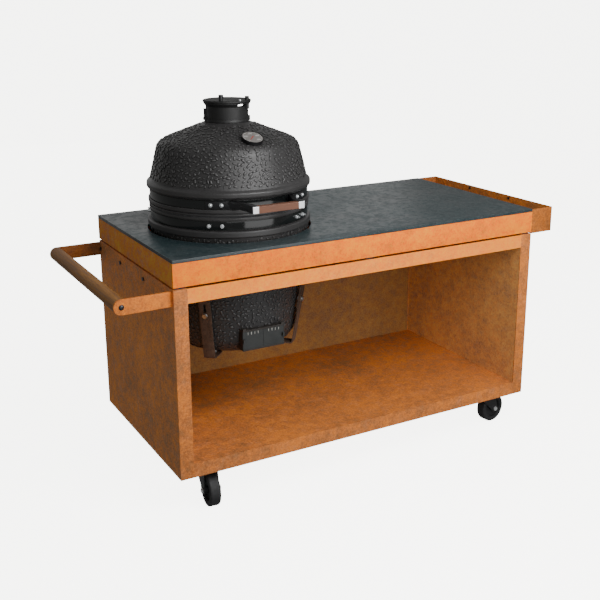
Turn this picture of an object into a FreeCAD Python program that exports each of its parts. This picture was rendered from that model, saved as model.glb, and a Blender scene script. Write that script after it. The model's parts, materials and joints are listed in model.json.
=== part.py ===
import FreeCAD, Part
import math
import os

from FreeCAD import Rotation, Vector

# A grill table: a steel cabinet on four swivel casters, with a slab worktop, a push handle and a
# planter, that carries a ceramic kamado grill in a cradle of four straps.
# Millimetres. Work frame: X from the cabinet's left face, Y back from its front face, Z up from
# the floor. The kamado has a frame of its own: its axis, and Z up from the worktop's top face.
# Every shape is moved at the end so that the origin is on the floor, under the middle of the whole.

# Cabinet
CABINET_WIDTH = 1450.0
CABINET_DEPTH = 730.0
CABINET_HEIGHT = 648.0
GROUND_CLEARANCE = 136.5
SHEET = 3.0
LINING = 2.0
SIDE_THICKNESS = 47.0
BACK_THICKNESS = 20.0
FLOOR_THICKNESS = 49.0
TOP_RAIL_HEIGHT = 49.0
TOP_RAIL_DEPTH = 40.0
CASTER_RAIL_WIDTH = 130.0

# Worktop and its frame
SHADOW_GAP = 6.5
APRON_HEIGHT = 78.0
APRON_FLANGE = 34.0
SLAB_THICKNESS = 11.0
BEARER_WIDTH = 40.0
BEARER_HEIGHT = 30.0
PAD_LENGTH = 34.0
PAD_WIDTH = 22.0
PAD_INSET = 8.0

# Planter on the right end
PLANTER_WIDTH = 99.0
PLANTER_HEIGHT = 94.0
PLANTER_BOLT_COUNT = 3
PLANTER_PLUG_COUNT = 2
PLANTER_PLUG_DROP = 11.0
PLANTER_PLUG_RADIUS = 3.0
PLANTER_PLUG_HEAD_RADIUS = 5.0
PLANTER_PLUG_HEAD_HEIGHT = 2.0

# Push handle on the left end
ARM_REACH = 162.0
ARM_HEIGHT = 49.0
ARM_THICKNESS = 8.0
ARM_FRONT_INSET = 14.0
ARM_DROP = 31.0
BAR_DIAMETER = 49.0
BAR_BOLT_SHARE = 0.7
TANG_HEIGHT = 28.0
BACKING_THICKNESS = 6.0
SIDE_BOLT_INSET = 36.0
SIDE_BOLT_PITCH = 230.0

# Casters
WHEEL_RADIUS = 57.0
WHEEL_WIDTH = 40.0
TYRE_THICKNESS = 15.0
TYRE_SHOULDER = 7.0
CASTER_TRAIL = 45.0
CASTER_INSET_X = 124.0
CASTER_INSET_Y = 84.5
CASTER_PLATE_LENGTH = 104.0
CASTER_PLATE_WIDTH = 86.0
CASTER_PLATE_THICKNESS = 5.0
SWIVEL_RADIUS = 30.0
SWIVEL_HEIGHT = 9.0
FORK_SHEET = 4.0
KINGPIN_RADIUS = 6.0
AXLE_RADIUS = 5.0
AXLE_WASHER_RADIUS = 9.0
AXLE_WASHER_THICKNESS = 1.5
AXLE_NUT_RADIUS = 8.0
AXLE_NUT_HEIGHT = 5.0
FORK_BACK = 24.0
FORK_NOSE = 12.0
FORK_END_RADIUS = 14.0
FORK_END_HALF_WIDTH = 13.0
FORK_END_RISE = 4.0
FORK_END_DROP = 5.0
WHEEL_SIDE_PLAY = 3.0
TYRE_LIP = 1.0
TYRE_LIP_ROUNDING = 2.0
HUB_RADIUS = 13.0
HUB_WEB_HALF = 6.0
RIM_LIP = 3.0
RIM_DISH = 4.0
RIM_DISH_FOOT = 6.0
RIM_GAP = 0.05
KINGPIN_FOOT = 2.0
KINGPIN_HEAD_OVERLAP = 4.0
KINGPIN_HEAD_THICKNESS = 3.0
CASTER_BOLT_INSET = 12.0
CASTER_HEADINGS = {
    "front_left": -95.0,
    "front_right": 8.0,
    "rear_left": -86.0,
    "rear_right": 14.0,
}

# Kamado body: the rim's radius, how far the other faces stand in from it, and heights above the worktop
RIM_RADIUS = 285.0
HOLE_CLEARANCE = 2.5
BASE_RECESS = 6.0
LIP_RECESS = 5.0
BAND_RECESS = 13.0
BAND_THICKNESS = 3.5
WALL = 26.0
WALL_RELIEF = 4.0
BASE_DEPTH = 415.0
BASE_TAPER = 0.129
BASE_ROUNDING = 70.0
BASE_RIM_LOW = 13.0
BASE_RIM_HIGH = 38.5
BASE_RIM_CHAMFER = 2.5
SEAM_HEIGHT = 83.5
GASKET_THICKNESS = 2.3
GASKET_INSET = 3.0
SEAM_GAP = 0.3
BASE_LIP_HEIGHT = 9.0
BASE_LIP_INSET = 1.5
LID_LIP_HEIGHT = 22.5
LID_LIP_INSET = 1.0
BEAD_HEIGHT = 6.5
BEAD_GROOVE = 3.0
BEAD_GROOVE_DEPTH = 4.0
BEAD_EDGE = 0.3
LIP_ROUNDING = 2.0
RIDGE_ROUNDING = 3.0
BAND_HEIGHT = 27.5
BAND_MARGIN = 2.0
SEAT_STEP = 0.5
LID_RIM_HEIGHT = 30.0
LID_RIM_BEVEL = 8.0
LID_RIM_ROUNDING = 7.0
LID_RIM_UNDERCUT = 6.0
LID_RIM_SHELF = 12.5
DOME_STEP = 2.0
DOME_SHOULDER_RECESS = 43.5
DOME_SHOULDER_HEIGHT = 297.0
DOME_ROUNDING = 44.0
DOME_ROOF_SLOPE = 0.39
INNER_ROUNDING_SHARE = 0.7
INNER_TAPER_SHARE = 0.75

# Inside the kamado
FIRE_RING_HEIGHT = 96.0
FIRE_RING_TOP = 38.0
FIRE_RING_WALL = 20.0
FIRE_RING_NOTCH = 52.0
FIRE_RING_NOTCH_DEPTH = 22.0
LINER_GAP = 5.0
BOWL_WALL = 20.0
BOWL_FLOOR = 12.0
BOWL_FOOT_INSET = 56.5
BOWL_ROUNDING = 20.0
BOWL_KNEE_HEIGHT = 84.0
GRATE_MARGIN = 36.0
GRATE_PLAY = 2.0
GRATE_SEAT = 6.0
GRATE_STEP = 4.0
GRATE_SLOT_SHARE = 0.56
GRATE_BRIDGE_SHARE = 0.3
GRATE_EDGE_SHARE = 0.7
CHARCOAL_GRATE_THICKNESS = 8.0
CHARCOAL_GRATE_SLOTS = 9
GRID_OVERLAP = 5.0
GRID_WIRE = 5.0
GRID_RIM_WIRE = 7.0
GRID_PITCH = 15.0
GRID_CROSS_OFFSET = 0.45
GRID_CROSS_DROP = 4.0

# Draught door on the base
DOOR_HALF_WIDTH = 78.5
DOOR_RISE = 28.0
DOOR_HEIGHT = 73.5
DOOR_RECESS = 33.0
DOOR_PANEL = 4.0
HOUSING_WALL = 6.0
RAIL_LIP = 5.0
RAIL_THICKNESS = 2.2
RAIL_FRONT = 2.0
DRAUGHT_HALF_WIDTH = 58.0
DRAUGHT_HEIGHT = 46.0
MARK_COUNT = 4
MARK_WIDTH = 2.6
MARK_HEIGHT = 10.0
MARK_PITCH = 12.8
MARK_DEPTH = 0.6
MARK_INSET = 20.0
MARK_DROP = 3.0
TAB_WIDTH = 7.0
TAB_HEIGHT = 14.0
STOP_WIDTH = 12.0
STOP_HEIGHT = 6.0
SCREEN_THICKNESS = 1.5
SCREEN_SETBACK = 6.0
SCREEN_EDGE = 2.0
SCREEN_HOLE = 5.0
SCREEN_PITCH = 7.5

# Rear hinge of the lid
HINGE_STANDOFF = 31.5
HINGE_HEIGHT = 84.0
HINGE_PIN_RADIUS = 6.0
HINGE_HALF_WIDTH = 74.0
HINGE_PLATE = 5.0
HINGE_BOSS_RADIUS = 14.0
HINGE_FOOT = 4.0
HINGE_HEAD = 4.0
HINGE_PIN_HEAD_SHARE = 1.5
HINGE_WEB_DEPTH_SHARE = 0.6
HINGE_WEB_RISE_SHARE = 0.8
SPRING_WIRE = 3.2
SPRING_CLEARANCE = 0.3
SPRING_TURNS = 9
SPRING_PITCH = 4.4
SPRING_LEG = 18.0
SPRING_INSET = 6.0

# Lid handle
HANDLE_STANDOFF = 90.5
HANDLE_HEIGHT = 127.0
SLEEVE_LENGTH = 144.0
SLEEVE_HEIGHT = 23.0
SLEEVE_DEPTH = 20.0
SLEEVE_ROUNDING = 1.5
CAP_LENGTH = 20.0
CAP_THICKNESS = 5.0
CAP_PEG_RADIUS = 4.0
CAP_PEG_LENGTH = 8.0
NOSE_RADIUS = 4.0
NOSE_LENGTH = 10.0
BRACKET_WIDTH = 16.0
BRACKET_HEIGHT = 24.0
BRACKET_DEPTH = 51.0
BRACKET_SPLAY = 0.33
BRACKET_FOOT = 3.0
BRACKET_FOOT_START = 19.0
BRACKET_FOOT_END = 41.0
BRACKET_FOOT_MARGIN = 1.0

# Band bolts, in degrees either side of the front
LID_BOLT_AZIMUTHS = (30.0, 37.5)
BASE_BOLT_AZIMUTHS = (30.0, 39.0, 113.0, 121.0)
BAND_BOLT_RADIUS = 5.0
BAND_STUD_RADIUS = 3.0
BAND_STUD_LENGTH = 6.5
BAND_NUT_RADIUS = 6.3
BAND_NUT_HEIGHT = 5.0

# Thermometer
THERMO_INSET = 52.5
THERMO_TILT = 24.0
THERMO_STANDOFF = 15.0
BEZEL_RADIUS = 36.5
BEZEL_ROUNDING = 0.5
BEZEL_HEIGHT = 13.0
DIAL_RADIUS = 35.0
DIAL_PLAY = 0.5
DIAL_THICKNESS = 1.0
PROBE_RADIUS = 4.0
PROBE_LENGTH = 120.0
NEEDLE_LENGTH = 24.0
NEEDLE_TAIL = 6.0
NEEDLE_WIDTH = 4.4
NEEDLE_TIP_HALF = 0.5
SPINDLE_RADIUS = 1.2
NEEDLE_THICKNESS = 0.8
NEEDLE_SINK = 2.1
NEEDLE_TURN = 135.0
DIAL_DEPTH = 3.6
THERMO_STEM = 14.0
THERMO_STEM_RADIUS = 16.5
PROBE_CLEARANCE = 1.0

# Top vent
VENT_RADIUS = 73.0
VENT_WALL = 7.0
VENT_SEAT_RADIUS = 77.0
THROAT_STEP = 8.0
SPIGOT_WALL = 5.0
SPIGOT_DEPTH = 16.0
ROOF_EDGE = 22.0
COLLAR_HEIGHT = 11.0
COLLAR_FLANGE = 1.5
VENT_BODY_HEIGHT = 54.0
VENT_GAP = 0.3
FLARE_RADIUS = 80.5
FLARE_HEIGHT = 12.0
FLARE_EDGE = 2.0
DISC_RADIUS = 83.0
DISC_THICKNESS = 9.5
DISC_WALL = 5.0
DISC_BEVEL = 12.0
DISC_ROUNDING = 2.5
WINDOW_MARGIN = 2.0
WINDOWS = ((16.5, 12.5, 7.0), (115.0, 15.0, 20.0))
VENT_HINGE_AZIMUTH = -113.0
VENT_HINGE_RADIUS = 78.5
VENT_HINGE_DROP = 1.0
VENT_KNUCKLE = 4.5
VENT_LUG_HALF = 7.5
VENT_LUG_HEIGHT = 34.0
VENT_LUG_DEPTH = 2.0
VENT_EAR = 4.5
VENT_PIN_RADIUS = 2.0
VENT_PIN_END = 1.0
VENT_ROOT = 4.0
LATCH_AZIMUTH = 66.0
LATCH_HALF = 6.0
LATCH_REACH = 6.0
LATCH_HEIGHT = 8.0
PIVOT_AZIMUTH = 41.0
PIVOT_RADIUS = 75.0
PIVOT_BOSS_RADIUS = 7.5
PIVOT_BOSS_HEIGHT = 20.0
PIVOT_SHANK = 3.5
PIVOT_HEAD_HEIGHT = 12.0
KNOB_AZIMUTH = -44.0
KNOB_RADIUS = 60.0
KNOB_SIZE = 8.5
KNOB_NECK = 6.4
KNOB_NECK_HEIGHT = 7.0
KNOB_HEIGHT = 20.0
LOCK_AZIMUTH = 11.0
LOCK_RADIUS = 75.5
LOCK_SIZE = 4.0
LOCK_HEIGHT = 4.0

# Cradle
STRAP_AZIMUTHS = (-45.0, 45.0, 135.0, 225.0)
STRAP_WIDTH = 41.0
STRAP_THICKNESS = 4.0
STRAP_STANDOFF = 21.1
STRAP_TOP = -205.0
STRAP_TILT = 0.1775
STRAP_SLOT_LENGTH = 42.0
STRAP_SLOT_WIDTH = 10.5
STRAP_BOLT_DROP = 55.0
FOOT_GAP = 6.0
FOOT_REACH = 63.8
FOOT_BOLT_INSET = 45.8
HANGER_WINDOW_MARGIN = 12.0
HANGER_OVERLAP = 85.0
CRADLE_PLATE = 4.0
CRADLE_MARGIN = 40.0
CRADLE_EDGE = 20.0
HANGER_FLANGE = 41.0

# Fasteners and fits
BOLT_RADIUS = 5.0
BUTTON_HEAD_RADIUS = 9.0
BUTTON_HEAD_HEIGHT = 5.0
BUTTON_DOME_SHARE = 1.25
NUT_RADIUS = 9.0
HEX_RADIUS = 8.5
WASHER = 1.6
NUT_HEIGHT = 7.0
SOCKET_RADIUS = 3.5
SOCKET_FLOOR = 1.5
SMALL_BOLT_RADIUS = 4.0
SMALL_HEAD_RADIUS = 7.0
SMALL_HEAD_HEIGHT = 4.0
RUNNING_FIT = 0.06
PRESS_PLAY = 0.02
SMALL_EDGE = 1.0
MOVING_GAP = 0.4
SLIDE_GAP = 0.3
SEAT_GAP = 0.15

# Places worked out from the sizes
CABINET_TOP = GROUND_CLEARANCE + CABINET_HEIGHT
APRON_BOTTOM = CABINET_TOP + SHADOW_GAP
SLAB_BOTTOM = APRON_BOTTOM + APRON_HEIGHT
WORKTOP = SLAB_BOTTOM + SLAB_THICKNESS
INNER_LEFT = SIDE_THICKNESS
INNER_RIGHT = CABINET_WIDTH - SIDE_THICKNESS
INNER_BACK = CABINET_DEPTH - BACK_THICKNESS
FLOOR_TOP = GROUND_CLEARANCE + FLOOR_THICKNESS
ARM_Z = CABINET_TOP - ARM_DROP
ARM_FRONT = ARM_FRONT_INSET
ARM_BACK = CABINET_DEPTH - ARM_THICKNESS
HOLE_RADIUS = RIM_RADIUS + HOLE_CLEARANCE
ORIGIN_X = (CABINET_WIDTH + PLANTER_WIDTH - ARM_REACH - ARM_HEIGHT / 2) / 2
ORIGIN_Y = CABINET_DEPTH / 2

# The kamado stands in the square left end of the table
KAMADO_INSET = CABINET_DEPTH / 2
KAMADO_PLACE = Vector(KAMADO_INSET, KAMADO_INSET, WORKTOP)

# Radii that follow from the kamado's rim
BASE_RADIUS = RIM_RADIUS - BASE_RECESS
LIP_RADIUS = RIM_RADIUS - LIP_RECESS
BAND_SEAT_RADIUS = RIM_RADIUS - BAND_RECESS
BAND_OUTER = BAND_SEAT_RADIUS + BAND_THICKNESS
INNER_TOP_RADIUS = BAND_SEAT_RADIUS - WALL + WALL_RELIEF
INNER_TAPER = BASE_TAPER * INNER_TAPER_SHARE
BASE_FOOT_RADIUS = BASE_RADIUS - BASE_TAPER * (BASE_DEPTH + BASE_RIM_LOW)
DOME_SHOULDER_RADIUS = RIM_RADIUS - DOME_SHOULDER_RECESS
THERMO_RADIUS = DOME_SHOULDER_RADIUS - THERMO_INSET
THROAT_RADIUS = VENT_RADIUS - VENT_WALL - THROAT_STEP
HINGE_RADIUS = BAND_OUTER + HINGE_STANDOFF
HANDLE_REACH = BAND_OUTER + HANDLE_STANDOFF
DOOR_FACE = RIM_RADIUS - DOOR_RECESS
DOOR_BOTTOM = DOOR_RISE - BASE_DEPTH
DOOR_TOP = DOOR_BOTTOM + DOOR_HEIGHT
STRAP_TOP_RADIUS = BASE_RADIUS - BASE_TAPER * (BASE_RIM_LOW - STRAP_TOP) + STRAP_STANDOFF
FOOT_INNER_RADIUS = BASE_FOOT_RADIUS - FOOT_REACH
FOOT_BOLT_RADIUS = BASE_FOOT_RADIUS - FOOT_BOLT_INSET

# Heights of the lid's and the base's rims, above the worktop
BASE_LIP_TOP = SEAM_HEIGHT - GASKET_THICKNESS
BASE_LIP_LOW = BASE_LIP_TOP - BASE_LIP_HEIGHT
LID_LIP_LOW = SEAM_HEIGHT + SEAM_GAP + GASKET_THICKNESS
LID_LIP_HIGH = LID_LIP_LOW + LID_LIP_HEIGHT
LID_BAND_LOW = LID_LIP_HIGH + BAND_MARGIN
LID_RIM_LOW = LID_BAND_LOW + BAND_HEIGHT + BAND_MARGIN
LID_RIM_HIGH = LID_RIM_LOW + LID_RIM_HEIGHT
BASE_BAND_LOW = BASE_RIM_HIGH + BAND_MARGIN
ROOF_TOP = DOME_SHOULDER_HEIGHT + DOME_ROOF_SLOPE * (DOME_SHOULDER_RADIUS - VENT_SEAT_RADIUS)
COLLAR_TOP = ROOF_TOP + COLLAR_HEIGHT
VENT_BODY_LOW = COLLAR_TOP + VENT_GAP
VENT_BODY_HIGH = VENT_BODY_LOW + VENT_BODY_HEIGHT
DISC_LOW = VENT_BODY_HIGH + VENT_GAP
DISC_HIGH = DISC_LOW + DISC_THICKNESS


def box(x0, x1, y0, y1, z0, z1):
    return Part.makeBox(x1 - x0, y1 - y0, z1 - z0, Vector(x0, y0, z0))


def rod(radius, start, end):
    run = end - start
    return Part.makeCylinder(radius, run.Length, start, run)


def hexagon(flat_radius, start, end):
    # A hexagonal prism from start to end; flat_radius reaches its corners.
    run = end - start
    ring = []
    for k in range(7):
        angle = math.radians(60 * k)
        ring.append(Vector(flat_radius * math.cos(angle), flat_radius * math.sin(angle), 0))
    prism = Part.Face(Part.makePolygon(ring)).extrude(Vector(0, 0, run.Length))
    prism.Placement = FreeCAD.Placement(start, Rotation(Vector(0, 0, 1), run))
    return prism


def fuse(shapes):
    return shapes[0].multiFuse(shapes[1:]).removeSplitter()


def rounded_wire(points):
    # A closed outline through (a, b, radius) corners, each rounded by a tangent arc.
    flat = [Vector(p[0], 0, p[1]) for p in points]
    edges = []
    ends = []
    for k, p in enumerate(points):
        before, corner, after = flat[k - 1], flat[k], flat[(k + 1) % len(flat)]
        radius = p[2] if len(p) > 2 else 0
        if radius == 0:
            ends.append((corner, None, corner))
            continue
        into = (before - corner).normalize()
        out = (after - corner).normalize()
        half = into.getAngle(out) / 2
        reach = radius / math.tan(half)
        middle = (into + out).normalize()
        heart = corner + middle * (radius / math.sin(half))
        ends.append((corner + into * reach, heart - middle * radius, corner + out * reach))
    for k, (start, bulge, end) in enumerate(ends):
        if bulge is not None:
            edges.append(Part.Arc(start, bulge, end).toShape())
        following = ends[(k + 1) % len(ends)][0]
        if end.distanceToPoint(following) > 1e-6:
            edges.append(Part.LineSegment(end, following).toShape())
    return Part.Wire(edges)


def turned(points):
    # A solid of revolution about Z from an outline of (radius, height, rounding) corners.
    return Part.Face(rounded_wire(points)).revolve(Vector(), Vector(0, 0, 1), 360)


def ring(outer, inner, low, high):
    hole = Part.makeCylinder(inner, high - low, Vector(0, 0, low))
    return Part.makeCylinder(outer, high - low, Vector(0, 0, low)).cut(hole)


def sector(outer, inner, low, high, start, end):
    # Part of a ring between two azimuths; azimuth 0 is the front and turns towards +X.
    span = math.radians(end - start)
    face = ring(outer, inner, low, high)
    far = outer * 2
    fan = [Vector(0, 0, low - 1)]
    steps = max(2, int(math.degrees(span) // 45) + 2)
    for k in range(steps + 1):
        angle = math.radians(start) + span * k / steps
        fan.append(Vector(far * math.sin(angle), -far * math.cos(angle), low - 1))
    fan.append(fan[0])
    wedge = Part.Face(Part.makePolygon(fan)).extrude(Vector(0, 0, high - low + 2))
    return face.common(wedge)


def side_prism(outline, half_width):
    # An outline of (distance out, height, rounding) corners, as thick as the strap is wide.
    wire = rounded_wire(outline)
    face = Part.Face(wire)
    face.rotate(Vector(), Vector(0, 0, 1), -90)
    face.translate(Vector(-half_width, 0, 0))
    return face.extrude(Vector(2 * half_width, 0, 0))


def at_azimuth(shape, azimuth):
    turned_shape = shape.copy()
    turned_shape.rotate(Vector(), Vector(0, 0, 1), azimuth)
    return turned_shape


def in_kamado(shape):
    moved = shape.copy()
    moved.translate(KAMADO_PLACE)
    return moved


def polar(radius, azimuth, height):
    angle = math.radians(azimuth)
    return Vector(radius * math.sin(angle), -radius * math.cos(angle), height)


parts = {}


def add(name, *shapes):
    solids = []
    for shape in shapes:
        solids.extend(shape.Solids)
    parts[name] = Part.makeCompound(solids)


# Cabinet panels are trays of folded sheet, closed on the inside by lining sheets
def side_panel():
    tray = box(0, SIDE_THICKNESS, 0, CABINET_DEPTH, GROUND_CLEARANCE, CABINET_TOP)
    hollow = box(SHEET, SIDE_THICKNESS + 1, SHEET, CABINET_DEPTH - SHEET,
                 GROUND_CLEARANCE + SHEET, CABINET_TOP - SHEET)
    return tray.cut(hollow)


def side_lining():
    return box(SIDE_THICKNESS - LINING, SIDE_THICKNESS, SHEET, CABINET_DEPTH - SHEET,
               GROUND_CLEARANCE + SHEET, CABINET_TOP - SHEET)


def mirrored(shape):
    return shape.mirror(Vector(CABINET_WIDTH / 2, 0, 0), Vector(1, 0, 0))


def tang_slot(y0):
    slot_half = TANG_HEIGHT / 2
    return box(-1, SHEET + 1, y0, y0 + ARM_THICKNESS, ARM_Z - slot_half, ARM_Z + slot_half)


SIDE_BOLT_PLACES = [SIDE_BOLT_INSET + SIDE_BOLT_PITCH * k for k in range(3)]
SIDE_BOLT_PLACES.append(ARM_BACK - SMALL_HEAD_RADIUS - 1)


def make_cabinet():
    left = side_panel()
    for y in (ARM_FRONT, ARM_BACK):
        left = left.cut(tang_slot(y))
    for y in SIDE_BOLT_PLACES:
        place = Vector(-1, y, ARM_Z)
        left = left.cut(rod(SMALL_BOLT_RADIUS + RUNNING_FIT, place, place + Vector(SHEET + 2, 0, 0)))
    add("left_panel", left)
    right = mirrored(side_panel())
    add("right_panel", right)
    back = box(INNER_LEFT, INNER_RIGHT, INNER_BACK, CABINET_DEPTH, GROUND_CLEARANCE, CABINET_TOP)
    back_hollow = box(INNER_LEFT + SHEET, INNER_RIGHT - SHEET, INNER_BACK - 1, CABINET_DEPTH - SHEET,
                      GROUND_CLEARANCE + SHEET, CABINET_TOP - SHEET)
    add("back_panel", back.cut(back_hollow))
    back_lining = box(INNER_LEFT + SHEET, INNER_RIGHT - SHEET, INNER_BACK, INNER_BACK + LINING,
                      GROUND_CLEARANCE + SHEET, CABINET_TOP - SHEET)
    add("lining_sheets", side_lining(), mirrored(side_lining()), back_lining)

    tray = box(INNER_LEFT, INNER_RIGHT, 0, INNER_BACK, GROUND_CLEARANCE, FLOOR_TOP)
    under = box(INNER_LEFT + SHEET, INNER_RIGHT - SHEET, SHEET, INNER_BACK - SHEET,
                GROUND_CLEARANCE - 1, FLOOR_TOP - SHEET)
    add("floor_tray", tray.cut(under))

    rails = []
    for centre in (CASTER_INSET_X, CABINET_WIDTH - CASTER_INSET_X):
        half = CASTER_RAIL_WIDTH / 2
        rail = box(centre - half, centre + half, SHEET, INNER_BACK - SHEET,
                   GROUND_CLEARANCE, FLOOR_TOP - SHEET)
        groove = box(centre - half + SHEET, centre + half - SHEET, 0, INNER_BACK,
                     GROUND_CLEARANCE + SHEET, FLOOR_TOP)
        rails.append(rail.cut(groove))
    add("caster_rails", *rails)

    low = CABINET_TOP - TOP_RAIL_HEIGHT
    front = box(INNER_LEFT, INNER_RIGHT, 0, TOP_RAIL_DEPTH, low, CABINET_TOP)
    front = front.cut(box(INNER_LEFT - 1, INNER_RIGHT + 1, SHEET, TOP_RAIL_DEPTH + 1,
                          low + SHEET, CABINET_TOP - SHEET))
    rear_start = INNER_BACK - TOP_RAIL_DEPTH
    rear = box(INNER_LEFT, INNER_RIGHT, rear_start, INNER_BACK, low, CABINET_TOP)
    rear = rear.cut(box(INNER_LEFT - 1, INNER_RIGHT + 1, rear_start - 1, INNER_BACK - SHEET,
                        low + SHEET, CABINET_TOP - SHEET))
    add("top_rails", front, rear)


# The plate that carries the cradle lies on the top rails, inside the shadow gap
def strap_face(height):
    # Distance from the kamado's axis to the outer face of a strap.
    return STRAP_TOP_RADIUS + STRAP_TILT * (height - STRAP_TOP)


def make_cradle_plate():
    plate = box(CRADLE_EDGE, KAMADO_INSET + HOLE_RADIUS + CRADLE_MARGIN,
                PAD_INSET + PAD_WIDTH + SEAT_GAP, INNER_BACK - CRADLE_EDGE,
                CABINET_TOP, CABINET_TOP + CRADLE_PLATE)
    centre = Vector(KAMADO_INSET, KAMADO_INSET, CABINET_TOP)
    passage = Part.makeCylinder(HOLE_RADIUS, CRADLE_PLATE, centre)
    add("cradle_plate", plate.cut(passage))


def strap_shapes(bolt_height, foot_top, foot_low):
    # The outer strap with its slot and inward foot, and the hanger behind it, at azimuth 0.
    thick = STRAP_THICKNESS
    hanger_top = CABINET_TOP - WORKTOP
    hanger_end = STRAP_TOP - HANGER_OVERLAP
    flange_start = strap_face(hanger_top) - 2 * thick
    strap_outline = [
        (strap_face(STRAP_TOP), STRAP_TOP),
        (strap_face(STRAP_TOP) - thick, STRAP_TOP),
        (strap_face(foot_top) - thick, foot_top, thick),
        (FOOT_INNER_RADIUS, foot_top),
        (FOOT_INNER_RADIUS, foot_low),
        (strap_face(foot_low), foot_low, 2 * thick),
    ]
    hanger_outline = [
        (flange_start, hanger_top),
        (flange_start + HANGER_FLANGE, hanger_top),
        (flange_start + HANGER_FLANGE, hanger_top - thick),
        (strap_face(hanger_top - thick) - thick, hanger_top - thick, thick / 2),
        (strap_face(hanger_end) - thick, hanger_end),
        (strap_face(hanger_end) - 2 * thick, hanger_end),
    ]
    half = STRAP_WIDTH / 2
    slot_half = STRAP_SLOT_WIDTH / 2
    slot = box(-slot_half, slot_half, -2 * STRAP_TOP_RADIUS, -FOOT_INNER_RADIUS,
               bolt_height - slot_half, bolt_height + STRAP_SLOT_LENGTH)
    window = box(-slot_half, slot_half, -2 * STRAP_TOP_RADIUS, -FOOT_INNER_RADIUS,
                 bolt_height + HANGER_WINDOW_MARGIN, bolt_height + STRAP_SLOT_LENGTH)
    return side_prism(strap_outline, half).cut(slot), side_prism(hanger_outline, half).cut(window)


def make_cradle():
    make_cradle_plate()
    thick = STRAP_THICKNESS
    foot_top = -BASE_DEPTH - FOOT_GAP
    foot_low = foot_top - thick
    bolt_height = STRAP_TOP - STRAP_BOLT_DROP
    strap, hanger = strap_shapes(bolt_height, foot_top, foot_low)
    out = Vector(0, -1, -STRAP_TILT).normalize()
    face = polar(strap_face(bolt_height), 0, bolt_height)
    back = face - out * 2 * thick
    hanger = hanger.cut(rod(BOLT_RADIUS + RUNNING_FIT, back - out * thick, face))
    bolt = fuse([
        rod(NUT_RADIUS, face, face + out * WASHER),
        hexagon(HEX_RADIUS, face + out * WASHER, face + out * (WASHER + NUT_HEIGHT)),
        rod(BOLT_RADIUS, back - out * NUT_HEIGHT, face),
    ])
    nut = hexagon(HEX_RADIUS, back, back - out * (NUT_HEIGHT - 1))
    nut = nut.cut(rod(BOLT_RADIUS + RUNNING_FIT, back, back - out * NUT_HEIGHT))
    foot_axis = [polar(FOOT_BOLT_RADIUS, 0, z) for z in (foot_low - NUT_HEIGHT, foot_low, 0)]
    strap = strap.cut(rod(BOLT_RADIUS + RUNNING_FIT, foot_axis[0], foot_axis[2]))
    foot_bolt = fuse([
        hexagon(HEX_RADIUS, foot_axis[0], foot_axis[1]),
        rod(BOLT_RADIUS, foot_axis[1], foot_axis[2]),
    ])
    foot_bolt = foot_bolt.cut(base_blank(SEAT_GAP)).Solids[0]
    straps, hangers, fasteners = [], [], []
    for azimuth in STRAP_AZIMUTHS:
        straps.append(in_kamado(at_azimuth(strap, azimuth)))
        hangers.append(in_kamado(at_azimuth(hanger, azimuth)))
        for fastener in (bolt, nut, foot_bolt):
            fasteners.append(in_kamado(at_azimuth(fastener, azimuth)))
    add("cradle_hangers", *hangers)
    add("cradle_straps", *straps)
    add("cradle_bolts", *fasteners)


def base_outline(grow):
    # Outside of the base below its rim: a tapered wall, a rounded corner and a flat bottom.
    return [
        (0, -BASE_DEPTH - grow),
        (BASE_FOOT_RADIUS + grow, -BASE_DEPTH - grow, BASE_ROUNDING + grow),
        (BASE_RADIUS + grow, BASE_RIM_LOW),
    ]


def base_blank(grow):
    return turned(base_outline(grow) + [(0, BASE_RIM_LOW)])


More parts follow.
